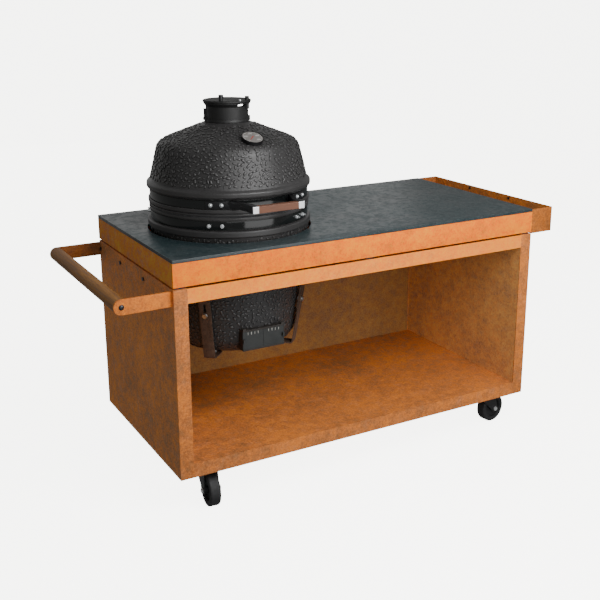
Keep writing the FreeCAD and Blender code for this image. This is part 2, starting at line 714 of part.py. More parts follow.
# Worktop: a slab on a welded frame, spaced off the cabinet by pads
def make_worktop():
    top = SLAB_BOTTOM
    low = APRON_BOTTOM
    pieces = []
    outer = box(0, CABINET_WIDTH, 0, CABINET_DEPTH, low, top)
    inside = box(SHEET, CABINET_WIDTH - SHEET, SHEET, CABINET_DEPTH - SHEET, low + SHEET, top - SHEET)
    middle = box(APRON_FLANGE, CABINET_WIDTH - APRON_FLANGE, APRON_FLANGE, CABINET_DEPTH - APRON_FLANGE,
                 low - 1, top + 1)
    frame = outer.cut(inside).cut(middle)
    far = CABINET_DEPTH / 2
    corners = {
        "front": [(0, 0), (CABINET_WIDTH, 0), (CABINET_WIDTH - far, far), (far, far)],
        "back": [(0, CABINET_DEPTH), (far, far), (CABINET_WIDTH - far, far), (CABINET_WIDTH, CABINET_DEPTH)],
        "left": [(0, 0), (far, far), (0, CABINET_DEPTH)],
        "right": [(CABINET_WIDTH, 0), (CABINET_WIDTH, CABINET_DEPTH), (CABINET_WIDTH - far, far)],
    }
    for points in corners.values():
        loop = [Vector(x, y, low - 1) for x, y in points]
        loop.append(loop[0])
        zone = Part.Face(Part.makePolygon(loop)).extrude(Vector(0, 0, top - low + 2))
        pieces.append(frame.common(zone))
    add("apron_rails", *pieces)

    slab = box(0, CABINET_WIDTH, 0, CABINET_DEPTH, SLAB_BOTTOM, WORKTOP)
    hole = Part.makeCylinder(HOLE_RADIUS, SLAB_THICKNESS + 2,
                             Vector(KAMADO_INSET, KAMADO_INSET, SLAB_BOTTOM - 1))
    add("worktop", slab.cut(hole))

    bearers = []
    first = KAMADO_INSET + HOLE_RADIUS + BEARER_WIDTH
    last = CABINET_WIDTH - APRON_FLANGE - BEARER_WIDTH
    for x in (first, (first + last) / 2, last):
        half = BEARER_WIDTH / 2
        bearer = box(x - half, x + half, SHEET, CABINET_DEPTH - SHEET,
                     top - SHEET - BEARER_HEIGHT, top - SHEET)
        core = box(x - half + SHEET, x + half - SHEET, 0, CABINET_DEPTH,
                   top - BEARER_HEIGHT, top - 2 * SHEET)
        crown = box(x - half, x + half, APRON_FLANGE, CABINET_DEPTH - APRON_FLANGE, top - SHEET, top)
        bearers.append(fuse([bearer, crown]).cut(core))
    add("slab_bearers", *bearers)

    pads = []
    for x in (PAD_INSET, CABINET_WIDTH / 2 - PAD_LENGTH / 2, CABINET_WIDTH - PAD_INSET - PAD_LENGTH):
        for y in (PAD_INSET, CABINET_DEPTH - PAD_INSET - PAD_WIDTH):
            pads.append(box(x, x + PAD_LENGTH, y, y + PAD_WIDTH, CABINET_TOP, APRON_BOTTOM))
    add("spacer_pads", *pads)


def planter_bolt_places():
    usable = CABINET_DEPTH - 2 * CASTER_INSET_Y
    step = usable / (PLANTER_BOLT_COUNT - 1)
    return [CASTER_INSET_Y + step * k for k in range(PLANTER_BOLT_COUNT)]


def make_planter():
    x0 = CABINET_WIDTH
    low = CABINET_TOP
    trough = box(x0, x0 + PLANTER_WIDTH, 0, CABINET_DEPTH, low, low + PLANTER_HEIGHT)
    inside = box(x0 + SHEET, x0 + PLANTER_WIDTH - SHEET, SHEET, CABINET_DEPTH - SHEET,
                 low + SHEET, low + PLANTER_HEIGHT + 1)
    trough = trough.cut(inside)
    bolts = []
    for k in range(PLANTER_PLUG_COUNT):
        # A plug in each hanging hole near the rim: its head is inside, its end is flush outside.
        y = CABINET_DEPTH * (k + 1) / (PLANTER_PLUG_COUNT + 1)
        outer = Vector(x0 + PLANTER_WIDTH, y, low + PLANTER_HEIGHT - PLANTER_PLUG_DROP)
        inner = outer - Vector(SHEET, 0, 0)
        tip = inner - Vector(PLANTER_PLUG_HEAD_HEIGHT, 0, 0)
        trough = trough.cut(rod(PLANTER_PLUG_RADIUS + RUNNING_FIT, tip, outer))
        bolts.append(fuse([
            rod(PLANTER_PLUG_HEAD_RADIUS, tip, inner),
            rod(PLANTER_PLUG_RADIUS, inner, outer),
        ]))
    apron_middle = (APRON_BOTTOM + SLAB_BOTTOM) / 2
    for y in planter_bolt_places():
        start = Vector(x0 - 2 * SHEET - NUT_HEIGHT, y, apron_middle)
        head = Vector(x0 + SHEET, y, apron_middle)
        drill = rod(SMALL_BOLT_RADIUS + RUNNING_FIT, start, head + Vector(1, 0, 0))
        trough = trough.cut(drill)
        parts["apron_rails"] = parts["apron_rails"].cut(drill)
        bolts.append(fuse([
            rod(SMALL_HEAD_RADIUS, head, head + Vector(SMALL_HEAD_HEIGHT, 0, 0)),
            rod(SMALL_BOLT_RADIUS, Vector(x0 - SHEET - NUT_HEIGHT, y, apron_middle), head),
        ]))
        nut_start = Vector(x0 - SHEET, y, apron_middle)
        nut_end = nut_start - Vector(NUT_HEIGHT, 0, 0)
        nut = hexagon(SMALL_HEAD_RADIUS, nut_end, nut_start)
        bolts.append(nut.cut(drill))
    add("planter", trough)
    return bolts


def button_bolt(face, out, shank):
    # A button-head bolt with a hexagonal socket; the head's underside is at face.
    dome = BUTTON_HEAD_RADIUS * BUTTON_DOME_SHARE
    head = Part.makeSphere(dome, face - out * (dome - BUTTON_HEAD_HEIGHT))
    head = head.common(rod(BUTTON_HEAD_RADIUS, face, face + out * BUTTON_HEAD_HEIGHT))
    body = fuse([head, rod(BOLT_RADIUS, face - out * shank, face)])
    tip = face + out * (BUTTON_HEAD_HEIGHT + 1)
    return body.cut(hexagon(SOCKET_RADIUS, tip, face + out * SOCKET_FLOOR))


def make_push_handle(other_bolts):
    arms = []
    end = Vector(-ARM_REACH, 0, ARM_Z)
    half = ARM_HEIGHT / 2
    bolts = []
    shank = ARM_THICKNESS + BAR_DIAMETER * BAR_BOLT_SHARE
    bar_start = Vector(-ARM_REACH, ARM_FRONT + ARM_THICKNESS, ARM_Z)
    bar_end = Vector(-ARM_REACH, ARM_BACK, ARM_Z)
    bar = rod(BAR_DIAMETER / 2, bar_start, bar_end)
    for y0, outside, out in ((ARM_FRONT, ARM_FRONT, Vector(0, -1, 0)),
                             (ARM_BACK, CABINET_DEPTH, Vector(0, 1, 0))):
        flat = box(-ARM_REACH, 0, y0, y0 + ARM_THICKNESS, ARM_Z - half, ARM_Z + half)
        nose = rod(half, end + Vector(0, y0, 0), end + Vector(0, y0 + ARM_THICKNESS, 0))
        tang = box(-1, SHEET, y0, y0 + ARM_THICKNESS, ARM_Z - TANG_HEIGHT / 2, ARM_Z + TANG_HEIGHT / 2)
        face = Vector(-ARM_REACH, outside, ARM_Z)
        drill = rod(BOLT_RADIUS + RUNNING_FIT, face - out * shank, face + out)
        arms.append(fuse([flat, nose, tang]).cut(drill))
        bar = bar.cut(drill)
        if outside == ARM_FRONT:
            bolts.append(button_bolt(face, out, shank - 1))
        else:
            bolts.append(rod(BOLT_RADIUS, face - out * (shank - 1), face))
    add("handle_arms", *arms)
    add("handle_bar", bar)
    backing = box(SHEET, SHEET + BACKING_THICKNESS, ARM_FRONT, CABINET_DEPTH - SHEET,
                  ARM_Z - TANG_HEIGHT / 2 - SHEET, ARM_Z + TANG_HEIGHT / 2 + SHEET)
    for y in SIDE_BOLT_PLACES:
        face = Vector(0, y, ARM_Z)
        length = SHEET + BACKING_THICKNESS
        backing = backing.cut(rod(SMALL_BOLT_RADIUS + RUNNING_FIT, face, face + Vector(length + 1, 0, 0)))
        bolts.append(fuse([
            hexagon(SMALL_HEAD_RADIUS, face, face - Vector(SMALL_HEAD_HEIGHT, 0, 0)),
            rod(SMALL_BOLT_RADIUS, face, face + Vector(length + 1, 0, 0)),
        ]))
    add("handle_backing_bar", backing)
    add("table_bolts", *(bolts + other_bolts))


make_cabinet()
make_cradle()
make_worktop()
make_push_handle(make_planter())


# Ceramic base and lid
def inner_radius(height):
    return INNER_TOP_RADIUS - INNER_TAPER * (BASE_LIP_TOP - height)


def make_base():
    floor = -BASE_DEPTH + WALL
    outline = base_outline(0) + [
        (RIM_RADIUS, BASE_RIM_LOW + BASE_RIM_CHAMFER, 2 * BASE_RIM_CHAMFER),
        (RIM_RADIUS, BASE_RIM_HIGH - BASE_RIM_CHAMFER, 2 * BASE_RIM_CHAMFER),
        (BAND_SEAT_RADIUS, BASE_RIM_HIGH + SEAT_STEP),
        (BAND_SEAT_RADIUS, BASE_LIP_LOW),
        (LIP_RADIUS - BASE_LIP_INSET, BASE_LIP_LOW, LIP_ROUNDING),
        (LIP_RADIUS - BASE_LIP_INSET, BASE_LIP_TOP, LIP_ROUNDING),
        (INNER_TOP_RADIUS, BASE_LIP_TOP, LIP_ROUNDING),
        (inner_radius(floor), floor, BASE_ROUNDING * INNER_ROUNDING_SHARE),
        (0, floor),
    ]
    shell = turned(outline)
    hole_low = (DOOR_TOP + DOOR_BOTTOM - DRAUGHT_HEIGHT) / 2
    passage = box(-DRAUGHT_HALF_WIDTH, DRAUGHT_HALF_WIDTH, -RIM_RADIUS, -RIM_RADIUS / 2,
                  hole_low, hole_low + DRAUGHT_HEIGHT)
    add("base_shell", in_kamado(shell.cut(passage)))
    band_high = BASE_BAND_LOW + BAND_HEIGHT
    add("base_band", in_kamado(ring(BAND_OUTER, BAND_SEAT_RADIUS + SEAT_GAP, BASE_BAND_LOW, band_high)))
    gasket = ring(LIP_RADIUS - GASKET_INSET - BASE_LIP_INSET, INNER_TOP_RADIUS + GASKET_INSET,
                  BASE_LIP_TOP, SEAM_HEIGHT)
    add("base_gasket", in_kamado(gasket))


def lid_outline():
    roof_start = (DOME_SHOULDER_RADIUS, DOME_SHOULDER_HEIGHT, DOME_ROUNDING)
    inner_shoulder = DOME_SHOULDER_HEIGHT - WALL
    bead = LIP_RADIUS - LID_LIP_INSET
    groove = LIP_RADIUS - LID_LIP_INSET - BEAD_GROOVE_DEPTH
    bead_top = LID_LIP_LOW + BEAD_HEIGHT
    ridge = LIP_RADIUS + SEAT_STEP
    return [
        (INNER_TOP_RADIUS, LID_LIP_LOW, LIP_ROUNDING),
        (bead, LID_LIP_LOW, LIP_ROUNDING),
        (bead, bead_top, LIP_ROUNDING),
        (groove, bead_top + BEAD_EDGE),
        (groove, bead_top + BEAD_GROOVE - BEAD_EDGE),
        (ridge, bead_top + BEAD_GROOVE, RIDGE_ROUNDING),
        (ridge, LID_LIP_HIGH, RIDGE_ROUNDING),
        (BAND_SEAT_RADIUS, LID_LIP_HIGH + SEAT_STEP),
        (BAND_SEAT_RADIUS, LID_RIM_LOW - SEAT_STEP),
        (RIM_RADIUS - LID_RIM_UNDERCUT, LID_RIM_LOW, RIDGE_ROUNDING),
        (RIM_RADIUS, LID_RIM_LOW + LID_RIM_BEVEL, LID_RIM_ROUNDING),
        (RIM_RADIUS, LID_RIM_HIGH - LID_RIM_BEVEL, LID_RIM_ROUNDING),
        (RIM_RADIUS - LID_RIM_SHELF, LID_RIM_HIGH, RIDGE_ROUNDING),
        (RIM_RADIUS - LID_RIM_SHELF - DOME_STEP / 2, LID_RIM_HIGH + 2 * DOME_STEP, DOME_STEP / 2),
        roof_start,
        (VENT_SEAT_RADIUS, ROOF_TOP, LIP_ROUNDING),
        (THROAT_RADIUS, ROOF_TOP),
        (THROAT_RADIUS, ROOF_TOP - ROOF_EDGE),
        (DOME_SHOULDER_RADIUS - WALL, inner_shoulder, DOME_ROUNDING * INNER_ROUNDING_SHARE),
    ]


def roof_height(radius):
    return DOME_SHOULDER_HEIGHT + DOME_ROOF_SLOPE * (DOME_SHOULDER_RADIUS - radius)


def thermometer_frame():
    # Centre of the dial's back and the direction that the dial faces.
    tilt = math.radians(THERMO_TILT)
    out = Vector(0, -math.sin(tilt), math.cos(tilt))
    foot = Vector(0, -THERMO_RADIUS, roof_height(THERMO_RADIUS))
    return foot + out * (THERMO_STANDOFF - BEZEL_HEIGHT), out


def make_lid():
    centre, out = thermometer_frame()
    probe_path = rod(PROBE_RADIUS + PROBE_CLEARANCE, centre - out * PROBE_LENGTH, centre + out * BEZEL_RADIUS)
    add("dome_shell", in_kamado(turned(lid_outline()).cut(probe_path)))
    band = ring(BAND_OUTER, BAND_SEAT_RADIUS + SEAT_GAP, LID_BAND_LOW, LID_BAND_LOW + BAND_HEIGHT)
    add("lid_band", in_kamado(band))
    gasket_low = SEAM_HEIGHT + SEAM_GAP
    gasket = ring(LIP_RADIUS - GASKET_INSET - BASE_LIP_INSET, INNER_TOP_RADIUS + GASKET_INSET,
                  gasket_low, LID_LIP_LOW)
    add("lid_gasket", in_kamado(gasket))


def band_bolt(azimuth, height, stand_off):
    # A domed screw head on a flat washer, standing off the band's outer face.
    out = polar(1, azimuth, 0)
    start = polar(BAND_OUTER + stand_off + SEAT_GAP, azimuth, height)
    face = start + out * WASHER
    dome = Part.makeSphere(BAND_BOLT_RADIUS, face)
    cap = dome.common(rod(2 * BAND_BOLT_RADIUS, face, face + out * 2 * BAND_BOLT_RADIUS))
    return in_kamado(fuse([rod(BAND_BOLT_RADIUS + WASHER, start, face), cap]))


def band_stud(azimuth, height):
    # A flat washer, a hexagonal nut and the end of its stud, on the band's outer face.
    out = polar(1, azimuth, 0)
    start = polar(BAND_OUTER + SEAT_GAP, azimuth, height)
    face = start + out * WASHER
    nut_end = face + out * BAND_NUT_HEIGHT
    return in_kamado(fuse([
        rod(BAND_BOLT_RADIUS + WASHER, start, face),
        hexagon(BAND_NUT_RADIUS, face, nut_end),
        rod(BAND_STUD_RADIUS, face, nut_end + out * BAND_STUD_LENGTH),
    ]))


def make_band_bolts():
    base_height = BASE_BAND_LOW + BAND_HEIGHT / 2
    lid_height = LID_BAND_LOW + BAND_HEIGHT / 2
    base_bolts = []
    lid_bolts = []
    for side in (-1, 1):
        for azimuth in BASE_BOLT_AZIMUTHS:
            base_bolts.append(band_stud(side * azimuth, base_height))
        for azimuth in LID_BOLT_AZIMUTHS:
            lid_bolts.append(band_bolt(side * azimuth, lid_height, BRACKET_FOOT + SEAT_GAP))
    add("base_band_bolts", *base_bolts)
    add("lid_band_bolts", *lid_bolts)


make_base()
make_lid()
make_band_bolts()


# Draught door: a housing on the base, two sliding panels and a spark screen
def make_draught_door():
    panel_back = DOOR_FACE - DOOR_PANEL
    body_face = panel_back - SLIDE_GAP
    lip_front = DOOR_FACE + SLIDE_GAP + RAIL_FRONT
    half = DOOR_HALF_WIDTH
    frame = HOUSING_WALL + RAIL_LIP
    block = box(-half, half, -body_face, -RIM_RADIUS / 2, DOOR_BOTTOM, DOOR_TOP)
    inside = box(-half + HOUSING_WALL, half - HOUSING_WALL, -body_face - 1, 0,
                 DOOR_BOTTOM + frame, DOOR_TOP - frame)
    block = block.cut(inside)
    lips = []
    for edge, way in ((DOOR_TOP, -1), (DOOR_BOTTOM, 1)):
        outer = sorted((edge, edge + way * RAIL_THICKNESS))
        hook = sorted((edge, edge + way * RAIL_LIP))
        lips.append(box(-half, half, -lip_front, -body_face, outer[0], outer[1]))
        lips.append(box(-half, half, -lip_front, -DOOR_FACE - SLIDE_GAP, hook[0], hook[1]))
    for x in (-half, half - STOP_WIDTH):
        lips.append(box(x, x + STOP_WIDTH, -lip_front, -body_face, DOOR_TOP - RAIL_THICKNESS,
                        DOOR_TOP + STOP_HEIGHT))
    housing = fuse([block] + lips)
    screen_face = body_face - SCREEN_SETBACK
    seat = box(-half + HOUSING_WALL - SCREEN_EDGE, half - HOUSING_WALL + SCREEN_EDGE,
               -screen_face, -screen_face + SCREEN_THICKNESS,
               DOOR_BOTTOM + frame - SCREEN_EDGE, DOOR_TOP - frame + SCREEN_EDGE)
    housing = housing.cut(seat).cut(base_blank(SEAT_GAP))
    add("draught_housing", in_kamado(housing))

    reach_x = half - HOUSING_WALL - SCREEN_PITCH
    reach_z = (DOOR_TOP - DOOR_BOTTOM) / 2 - frame - SCREEN_PITCH / 2
    middle = (DOOR_TOP + DOOR_BOTTOM) / 2
    columns = int(reach_x // SCREEN_PITCH)
    rows = int(reach_z // SCREEN_PITCH)
    side = SCREEN_HOLE / 2
    holes = []
    for i in range(-columns, columns + 1):
        for k in range(-rows, rows + 1):
            x = i * SCREEN_PITCH
            z = middle + k * SCREEN_PITCH
            holes.append(box(x - side, x + side, -screen_face - 1, -screen_face + SCREEN_THICKNESS + 1,
                             z - side, z + side))
    add("draught_screen", in_kamado(seat.cut(Part.makeCompound(holes))))

    top = DOOR_TOP - RAIL_THICKNESS - SLIDE_GAP
    low = DOOR_BOTTOM + RAIL_THICKNESS + SLIDE_GAP
    mark_top = DOOR_TOP - RAIL_LIP - MARK_DROP
    for name, way in (("draught_door_left", -1), ("draught_door_right", 1)):
        x0, x1 = sorted((way * SLIDE_GAP / 2, way * half))
        panel = box(x0, x1, -DOOR_FACE, -panel_back, low, top)
        for k in range(MARK_COUNT):
            x = way * (MARK_INSET + MARK_PITCH * k)
            panel = panel.cut(box(x - MARK_WIDTH / 2, x + MARK_WIDTH / 2, -DOOR_FACE - 1,
                                  -DOOR_FACE + MARK_DEPTH, mark_top - MARK_HEIGHT, mark_top))
        x0, x1 = sorted((way * half, way * (half - TAB_WIDTH)))
        tab = box(x0, x1, -DOOR_FACE - TAB_WIDTH, -DOOR_FACE,
                  middle - TAB_HEIGHT / 2, middle + TAB_HEIGHT / 2)
        add(name, in_kamado(fuse([panel, tab])))


make_draught_door()


# Inside the base: fire bowl, fire ring, charcoal grate and cooking grid
def make_fire_parts():
    floor = -BASE_DEPTH + WALL
    ring_low = FIRE_RING_TOP - FIRE_RING_HEIGHT
    ring_outer = inner_radius(ring_low) - LINER_GAP
    ring_flare = INNER_TAPER * FIRE_RING_HEIGHT
    ring_mouth = ring_outer - FIRE_RING_WALL + ring_flare
    knee_height = floor + BOWL_KNEE_HEIGHT
    knee_radius = inner_radius(knee_height) - LINER_GAP * 2
    foot_radius = inner_radius(floor) - BOWL_FOOT_INSET
    grate_radius = foot_radius - GRATE_MARGIN
    grate_low = floor + BOWL_WALL - GRATE_STEP
    grate_pit = grate_radius + GRATE_PLAY
    grate_seat = grate_radius - GRATE_SEAT
    pit_top = floor + BOWL_WALL + GRATE_STEP
    bowl = turned([
        (0, floor + BOWL_FLOOR),
        (0, floor),
        (foot_radius, floor, GRATE_STEP),
        (knee_radius, knee_height, BOWL_ROUNDING),
        (ring_outer, ring_low, LIP_ROUNDING),
        (ring_outer - BOWL_WALL, ring_low, LIP_ROUNDING),
        (knee_radius - BOWL_WALL, knee_height, BOWL_ROUNDING),
        (foot_radius - BOWL_WALL + GRATE_PLAY, pit_top + GRATE_PLAY, GRATE_SEAT),
        (grate_pit, pit_top),
        (grate_pit, grate_low),
        (grate_seat, grate_low),
        (grate_seat, floor + BOWL_FLOOR),
    ])
    notch_half = DRAUGHT_HALF_WIDTH * INNER_TAPER_SHARE
    notch = box(-notch_half, notch_half, -RIM_RADIUS, 0, floor + BOWL_FLOOR,
                floor + BOWL_FLOOR + DRAUGHT_HEIGHT / 2)
    add("fire_bowl", in_kamado(bowl.cut(notch)))

    fire_ring = turned([
        (ring_outer, ring_low, LIP_ROUNDING),
        (ring_outer + ring_flare, FIRE_RING_TOP, RIDGE_ROUNDING),
        (ring_mouth, FIRE_RING_TOP, RIDGE_ROUNDING),
        (ring_outer - FIRE_RING_WALL, ring_low, LIP_ROUNDING),
    ])
    for k in range(3):
        gap = box(-FIRE_RING_NOTCH / 2, FIRE_RING_NOTCH / 2, -RIM_RADIUS, -RIM_RADIUS / 2,
                  FIRE_RING_TOP - FIRE_RING_NOTCH_DEPTH, FIRE_RING_TOP + 1)
        fire_ring = fire_ring.cut(at_azimuth(gap, 60 + 120 * k))
    add("fire_ring", in_kamado(fire_ring))

    grate = Part.makeCylinder(grate_radius, CHARCOAL_GRATE_THICKNESS, Vector(0, 0, grate_low))
    pitch = 2 * grate_radius / (CHARCOAL_GRATE_SLOTS + 2)
    half_slot = pitch * GRATE_SLOT_SHARE / 2
    bridge = pitch * GRATE_BRIDGE_SHARE
    slots = []
    for k in range(CHARCOAL_GRATE_SLOTS):
        x = (k - (CHARCOAL_GRATE_SLOTS - 1) / 2) * pitch
        reach = math.sqrt(grate_radius ** 2 - x ** 2) - pitch * GRATE_EDGE_SHARE
        for y0, y1 in ((-reach, -bridge), (bridge, reach)):
            slots.append(box(x - half_slot, x + half_slot, y0, y1, grate_low - 1,
                             grate_low + CHARCOAL_GRATE_THICKNESS + 1))
    add("charcoal_grate", in_kamado(grate.cut(Part.makeCompound(slots))))

    grid_radius = ring_mouth + GRID_OVERLAP
    grid_middle = FIRE_RING_TOP + SEAT_GAP + GRID_RIM_WIRE / 2
    wires = [Part.makeTorus(grid_radius, GRID_RIM_WIRE / 2, Vector(0, 0, grid_middle))]
    count = int(grid_radius // GRID_PITCH)
    for k in range(-count, count + 1):
        x = k * GRID_PITCH
        reach = math.sqrt(grid_radius ** 2 - x ** 2)
        if reach > GRID_PITCH:
            wires.append(rod(GRID_WIRE / 2, Vector(x, -reach, grid_middle), Vector(x, reach, grid_middle)))
    cross_span = ring_mouth - GRID_WIRE
    for y in (-grid_radius * GRID_CROSS_OFFSET, grid_radius * GRID_CROSS_OFFSET):
        reach = math.sqrt(cross_span ** 2 - y ** 2)
        z = grid_middle - GRID_CROSS_DROP
        wires.append(rod(GRID_WIRE / 2, Vector(-reach, y, z), Vector(reach, y, z)))
    grid = wires[0].multiFuse(wires[1:])
    add("cooking_grid", in_kamado(grid))


make_fire_parts()


# Lid handle: two arms from the band, a rectangular sleeve and two end caps
def make_lid_handle():
    low = HANDLE_HEIGHT - BRACKET_HEIGHT / 2
    high = HANDLE_HEIGHT + BRACKET_HEIGHT / 2
    half_sleeve = SLEEVE_LENGTH / 2
    inner = half_sleeve + SEAT_GAP
    outer = half_sleeve + CAP_LENGTH
    front = HANDLE_REACH + SLEEVE_DEPTH / 2
    cap_back = front - CAP_THICKNESS
    elbow = front - BRACKET_DEPTH
    splay = BRACKET_SPLAY * (elbow - BAND_OUTER * math.cos(math.radians(BRACKET_FOOT_END)))
    seat_wall = Part.makeCylinder(BAND_OUTER + SEAT_GAP, 2 * high)

    def along_bar(side, start, end, radius):
        return rod(radius, Vector(side * start, -HANDLE_REACH, HANDLE_HEIGHT),
                   Vector(side * end, -HANDLE_REACH, HANDLE_HEIGHT))

    def bar(x0, x1, near, far):
        # A block along X, from near to far off the kamado's axis, with its long edges rounded.
        outline = [
            (-far, -SLEEVE_HEIGHT / 2, SLEEVE_ROUNDING),
            (-near, -SLEEVE_HEIGHT / 2, SLEEVE_ROUNDING),
            (-near, SLEEVE_HEIGHT / 2, SLEEVE_ROUNDING),
            (-far, SLEEVE_HEIGHT / 2, SLEEVE_ROUNDING),
        ]
        face = Part.Face(rounded_wire(outline))
        face.rotate(Vector(), Vector(0, 0, 1), 90)
        solid = face.extrude(Vector(x1 - x0, 0, 0))
        solid.translate(Vector(x0, 0, HANDLE_HEIGHT))
        return solid

    sleeve = bar(-half_sleeve, half_sleeve, front - SLEEVE_DEPTH, front)
    brackets = []
    caps = []
    for side in (-1, 1):
        outline = [
            (side * inner, -cap_back + SEAT_GAP),
            (side * outer, -cap_back + SEAT_GAP),
            (side * outer, -elbow),
            (side * (outer + splay), -elbow + splay / BRACKET_SPLAY),
            (side * (outer + splay - BRACKET_WIDTH), -elbow + splay / BRACKET_SPLAY),
            (side * (outer - BRACKET_WIDTH), -elbow),
            (side * inner, -elbow),
        ]
        loop = [Vector(x, y, low) for x, y in outline]
        loop.append(loop[0])
        arm = Part.Face(Part.makePolygon(loop)).extrude(Vector(0, 0, high - low))
        start, end = sorted((side * BRACKET_FOOT_START, side * BRACKET_FOOT_END))
        foot = sector(BAND_OUTER + SEAT_GAP + BRACKET_FOOT, BAND_OUTER, LID_BAND_LOW + BRACKET_FOOT_MARGIN,
                      LID_BAND_LOW + BAND_HEIGHT - BRACKET_FOOT_MARGIN, start, end)
        nose = along_bar(side, half_sleeve - NOSE_LENGTH, half_sleeve + NOSE_RADIUS, NOSE_RADIUS)
        nose_bore = along_bar(side, half_sleeve - NOSE_LENGTH - 1, half_sleeve + 1, NOSE_RADIUS + RUNNING_FIT)
        sleeve = sleeve.cut(nose_bore)
        x0, x1 = sorted((side * half_sleeve, side * outer))
        peg_start = Vector((x0 + x1) / 2, -cap_back, HANDLE_HEIGHT)
        peg_end = peg_start + Vector(0, CAP_PEG_LENGTH, 0)
        peg = rod(CAP_PEG_RADIUS, peg_start - Vector(0, 1, 0), peg_end)
        peg_bore = rod(CAP_PEG_RADIUS + RUNNING_FIT, peg_start, peg_end + Vector(0, 1, 0))
        caps.append(in_kamado(fuse([bar(x0, x1, cap_back, front), peg])))
        brackets.append(in_kamado(fuse([arm, foot, nose]).cut(seat_wall).cut(peg_bore)))
    add("lid_handle_brackets", *brackets)
    add("lid_handle_sleeve", in_kamado(sleeve))
    add("lid_handle_caps", *caps)


make_lid_handle()


# Rear hinge: ears on the base band, arms on the lid band, a pin and two torsion springs
def biarc(p0, t0, p1, t1):
    # Two arcs that join tangentially from p0 along t0 to p1 along t1.
    chord = p1 - p0
    both = t0 + t1
    lean = 2 * (1 - t0.dot(t1))
    along = chord.dot(both)
    reach = (-along + math.sqrt(along ** 2 + lean * chord.dot(chord))) / lean
    q0 = p0 + t0 * reach
    q1 = p1 - t1 * reach
    joint = (q0 + q1) * 0.5
    arcs = []
    for start, corner, end in ((p0, q0, joint), (joint, q1, p1)):
        middle = (start + end) * 0.5
        lift = corner - middle
        half_chord = start.distanceToPoint(middle)
        angle = math.atan2(lift.Length, half_chord)
        bulge = middle + lift * (math.tan(angle / 2) / math.tan(angle))
        arcs.append(Part.Arc(start, bulge, end).toShape())
    return arcs


def coil(centre, side):
    # A torsion spring about X with a straight leg at each end, as one tube.
    steps_per_turn = 4
    total = SPRING_TURNS * steps_per_turn
    mean = HINGE_PIN_RADIUS + SPRING_CLEARANCE + SPRING_WIRE / 2

    def point(k):
        angle = 2 * math.pi * k / steps_per_turn
        x = side * SPRING_PITCH * k / steps_per_turn
        return centre + Vector(x, mean * math.cos(angle), mean * math.sin(angle))

    def heading(k):
        angle = 2 * math.pi * k / steps_per_turn
        turn_length = 2 * math.pi * mean
        x = side * SPRING_PITCH
        return Vector(x, -turn_length * math.sin(angle), turn_length * math.cos(angle)).normalize()

    edges = []
    leg = SPRING_LEG
    edges.append(Part.LineSegment(point(0) - heading(0) * leg, point(0)).toShape())
    for k in range(total):
        edges.extend(biarc(point(k), heading(k), point(k + 1), heading(k + 1)))
    edges.append(Part.LineSegment(point(total), point(total) + heading(total) * leg).toShape())
    path = Part.Wire(edges)
    points = path.discretize(Distance=SPRING_WIRE / 4)
    three_quarter_turn = 2 * math.pi * mean * 3 / 4
    skip = int(round(three_quarter_turn / (SPRING_WIRE / 4)))
    near = [p.distanceToPoint(q) for k, p in enumerate(points) for q in points[k + skip:k + 3 * skip]]
    print("least gap of a spring to itself", round(min(near) - SPRING_WIRE, 2), "mm")
    start = point(0) - heading(0) * leg
    disc = Part.Wire(Part.makeCircle(SPRING_WIRE / 2, start, heading(0)))
    tube = path.makePipeShell([disc], True, False)
    return tube.Solids[0]


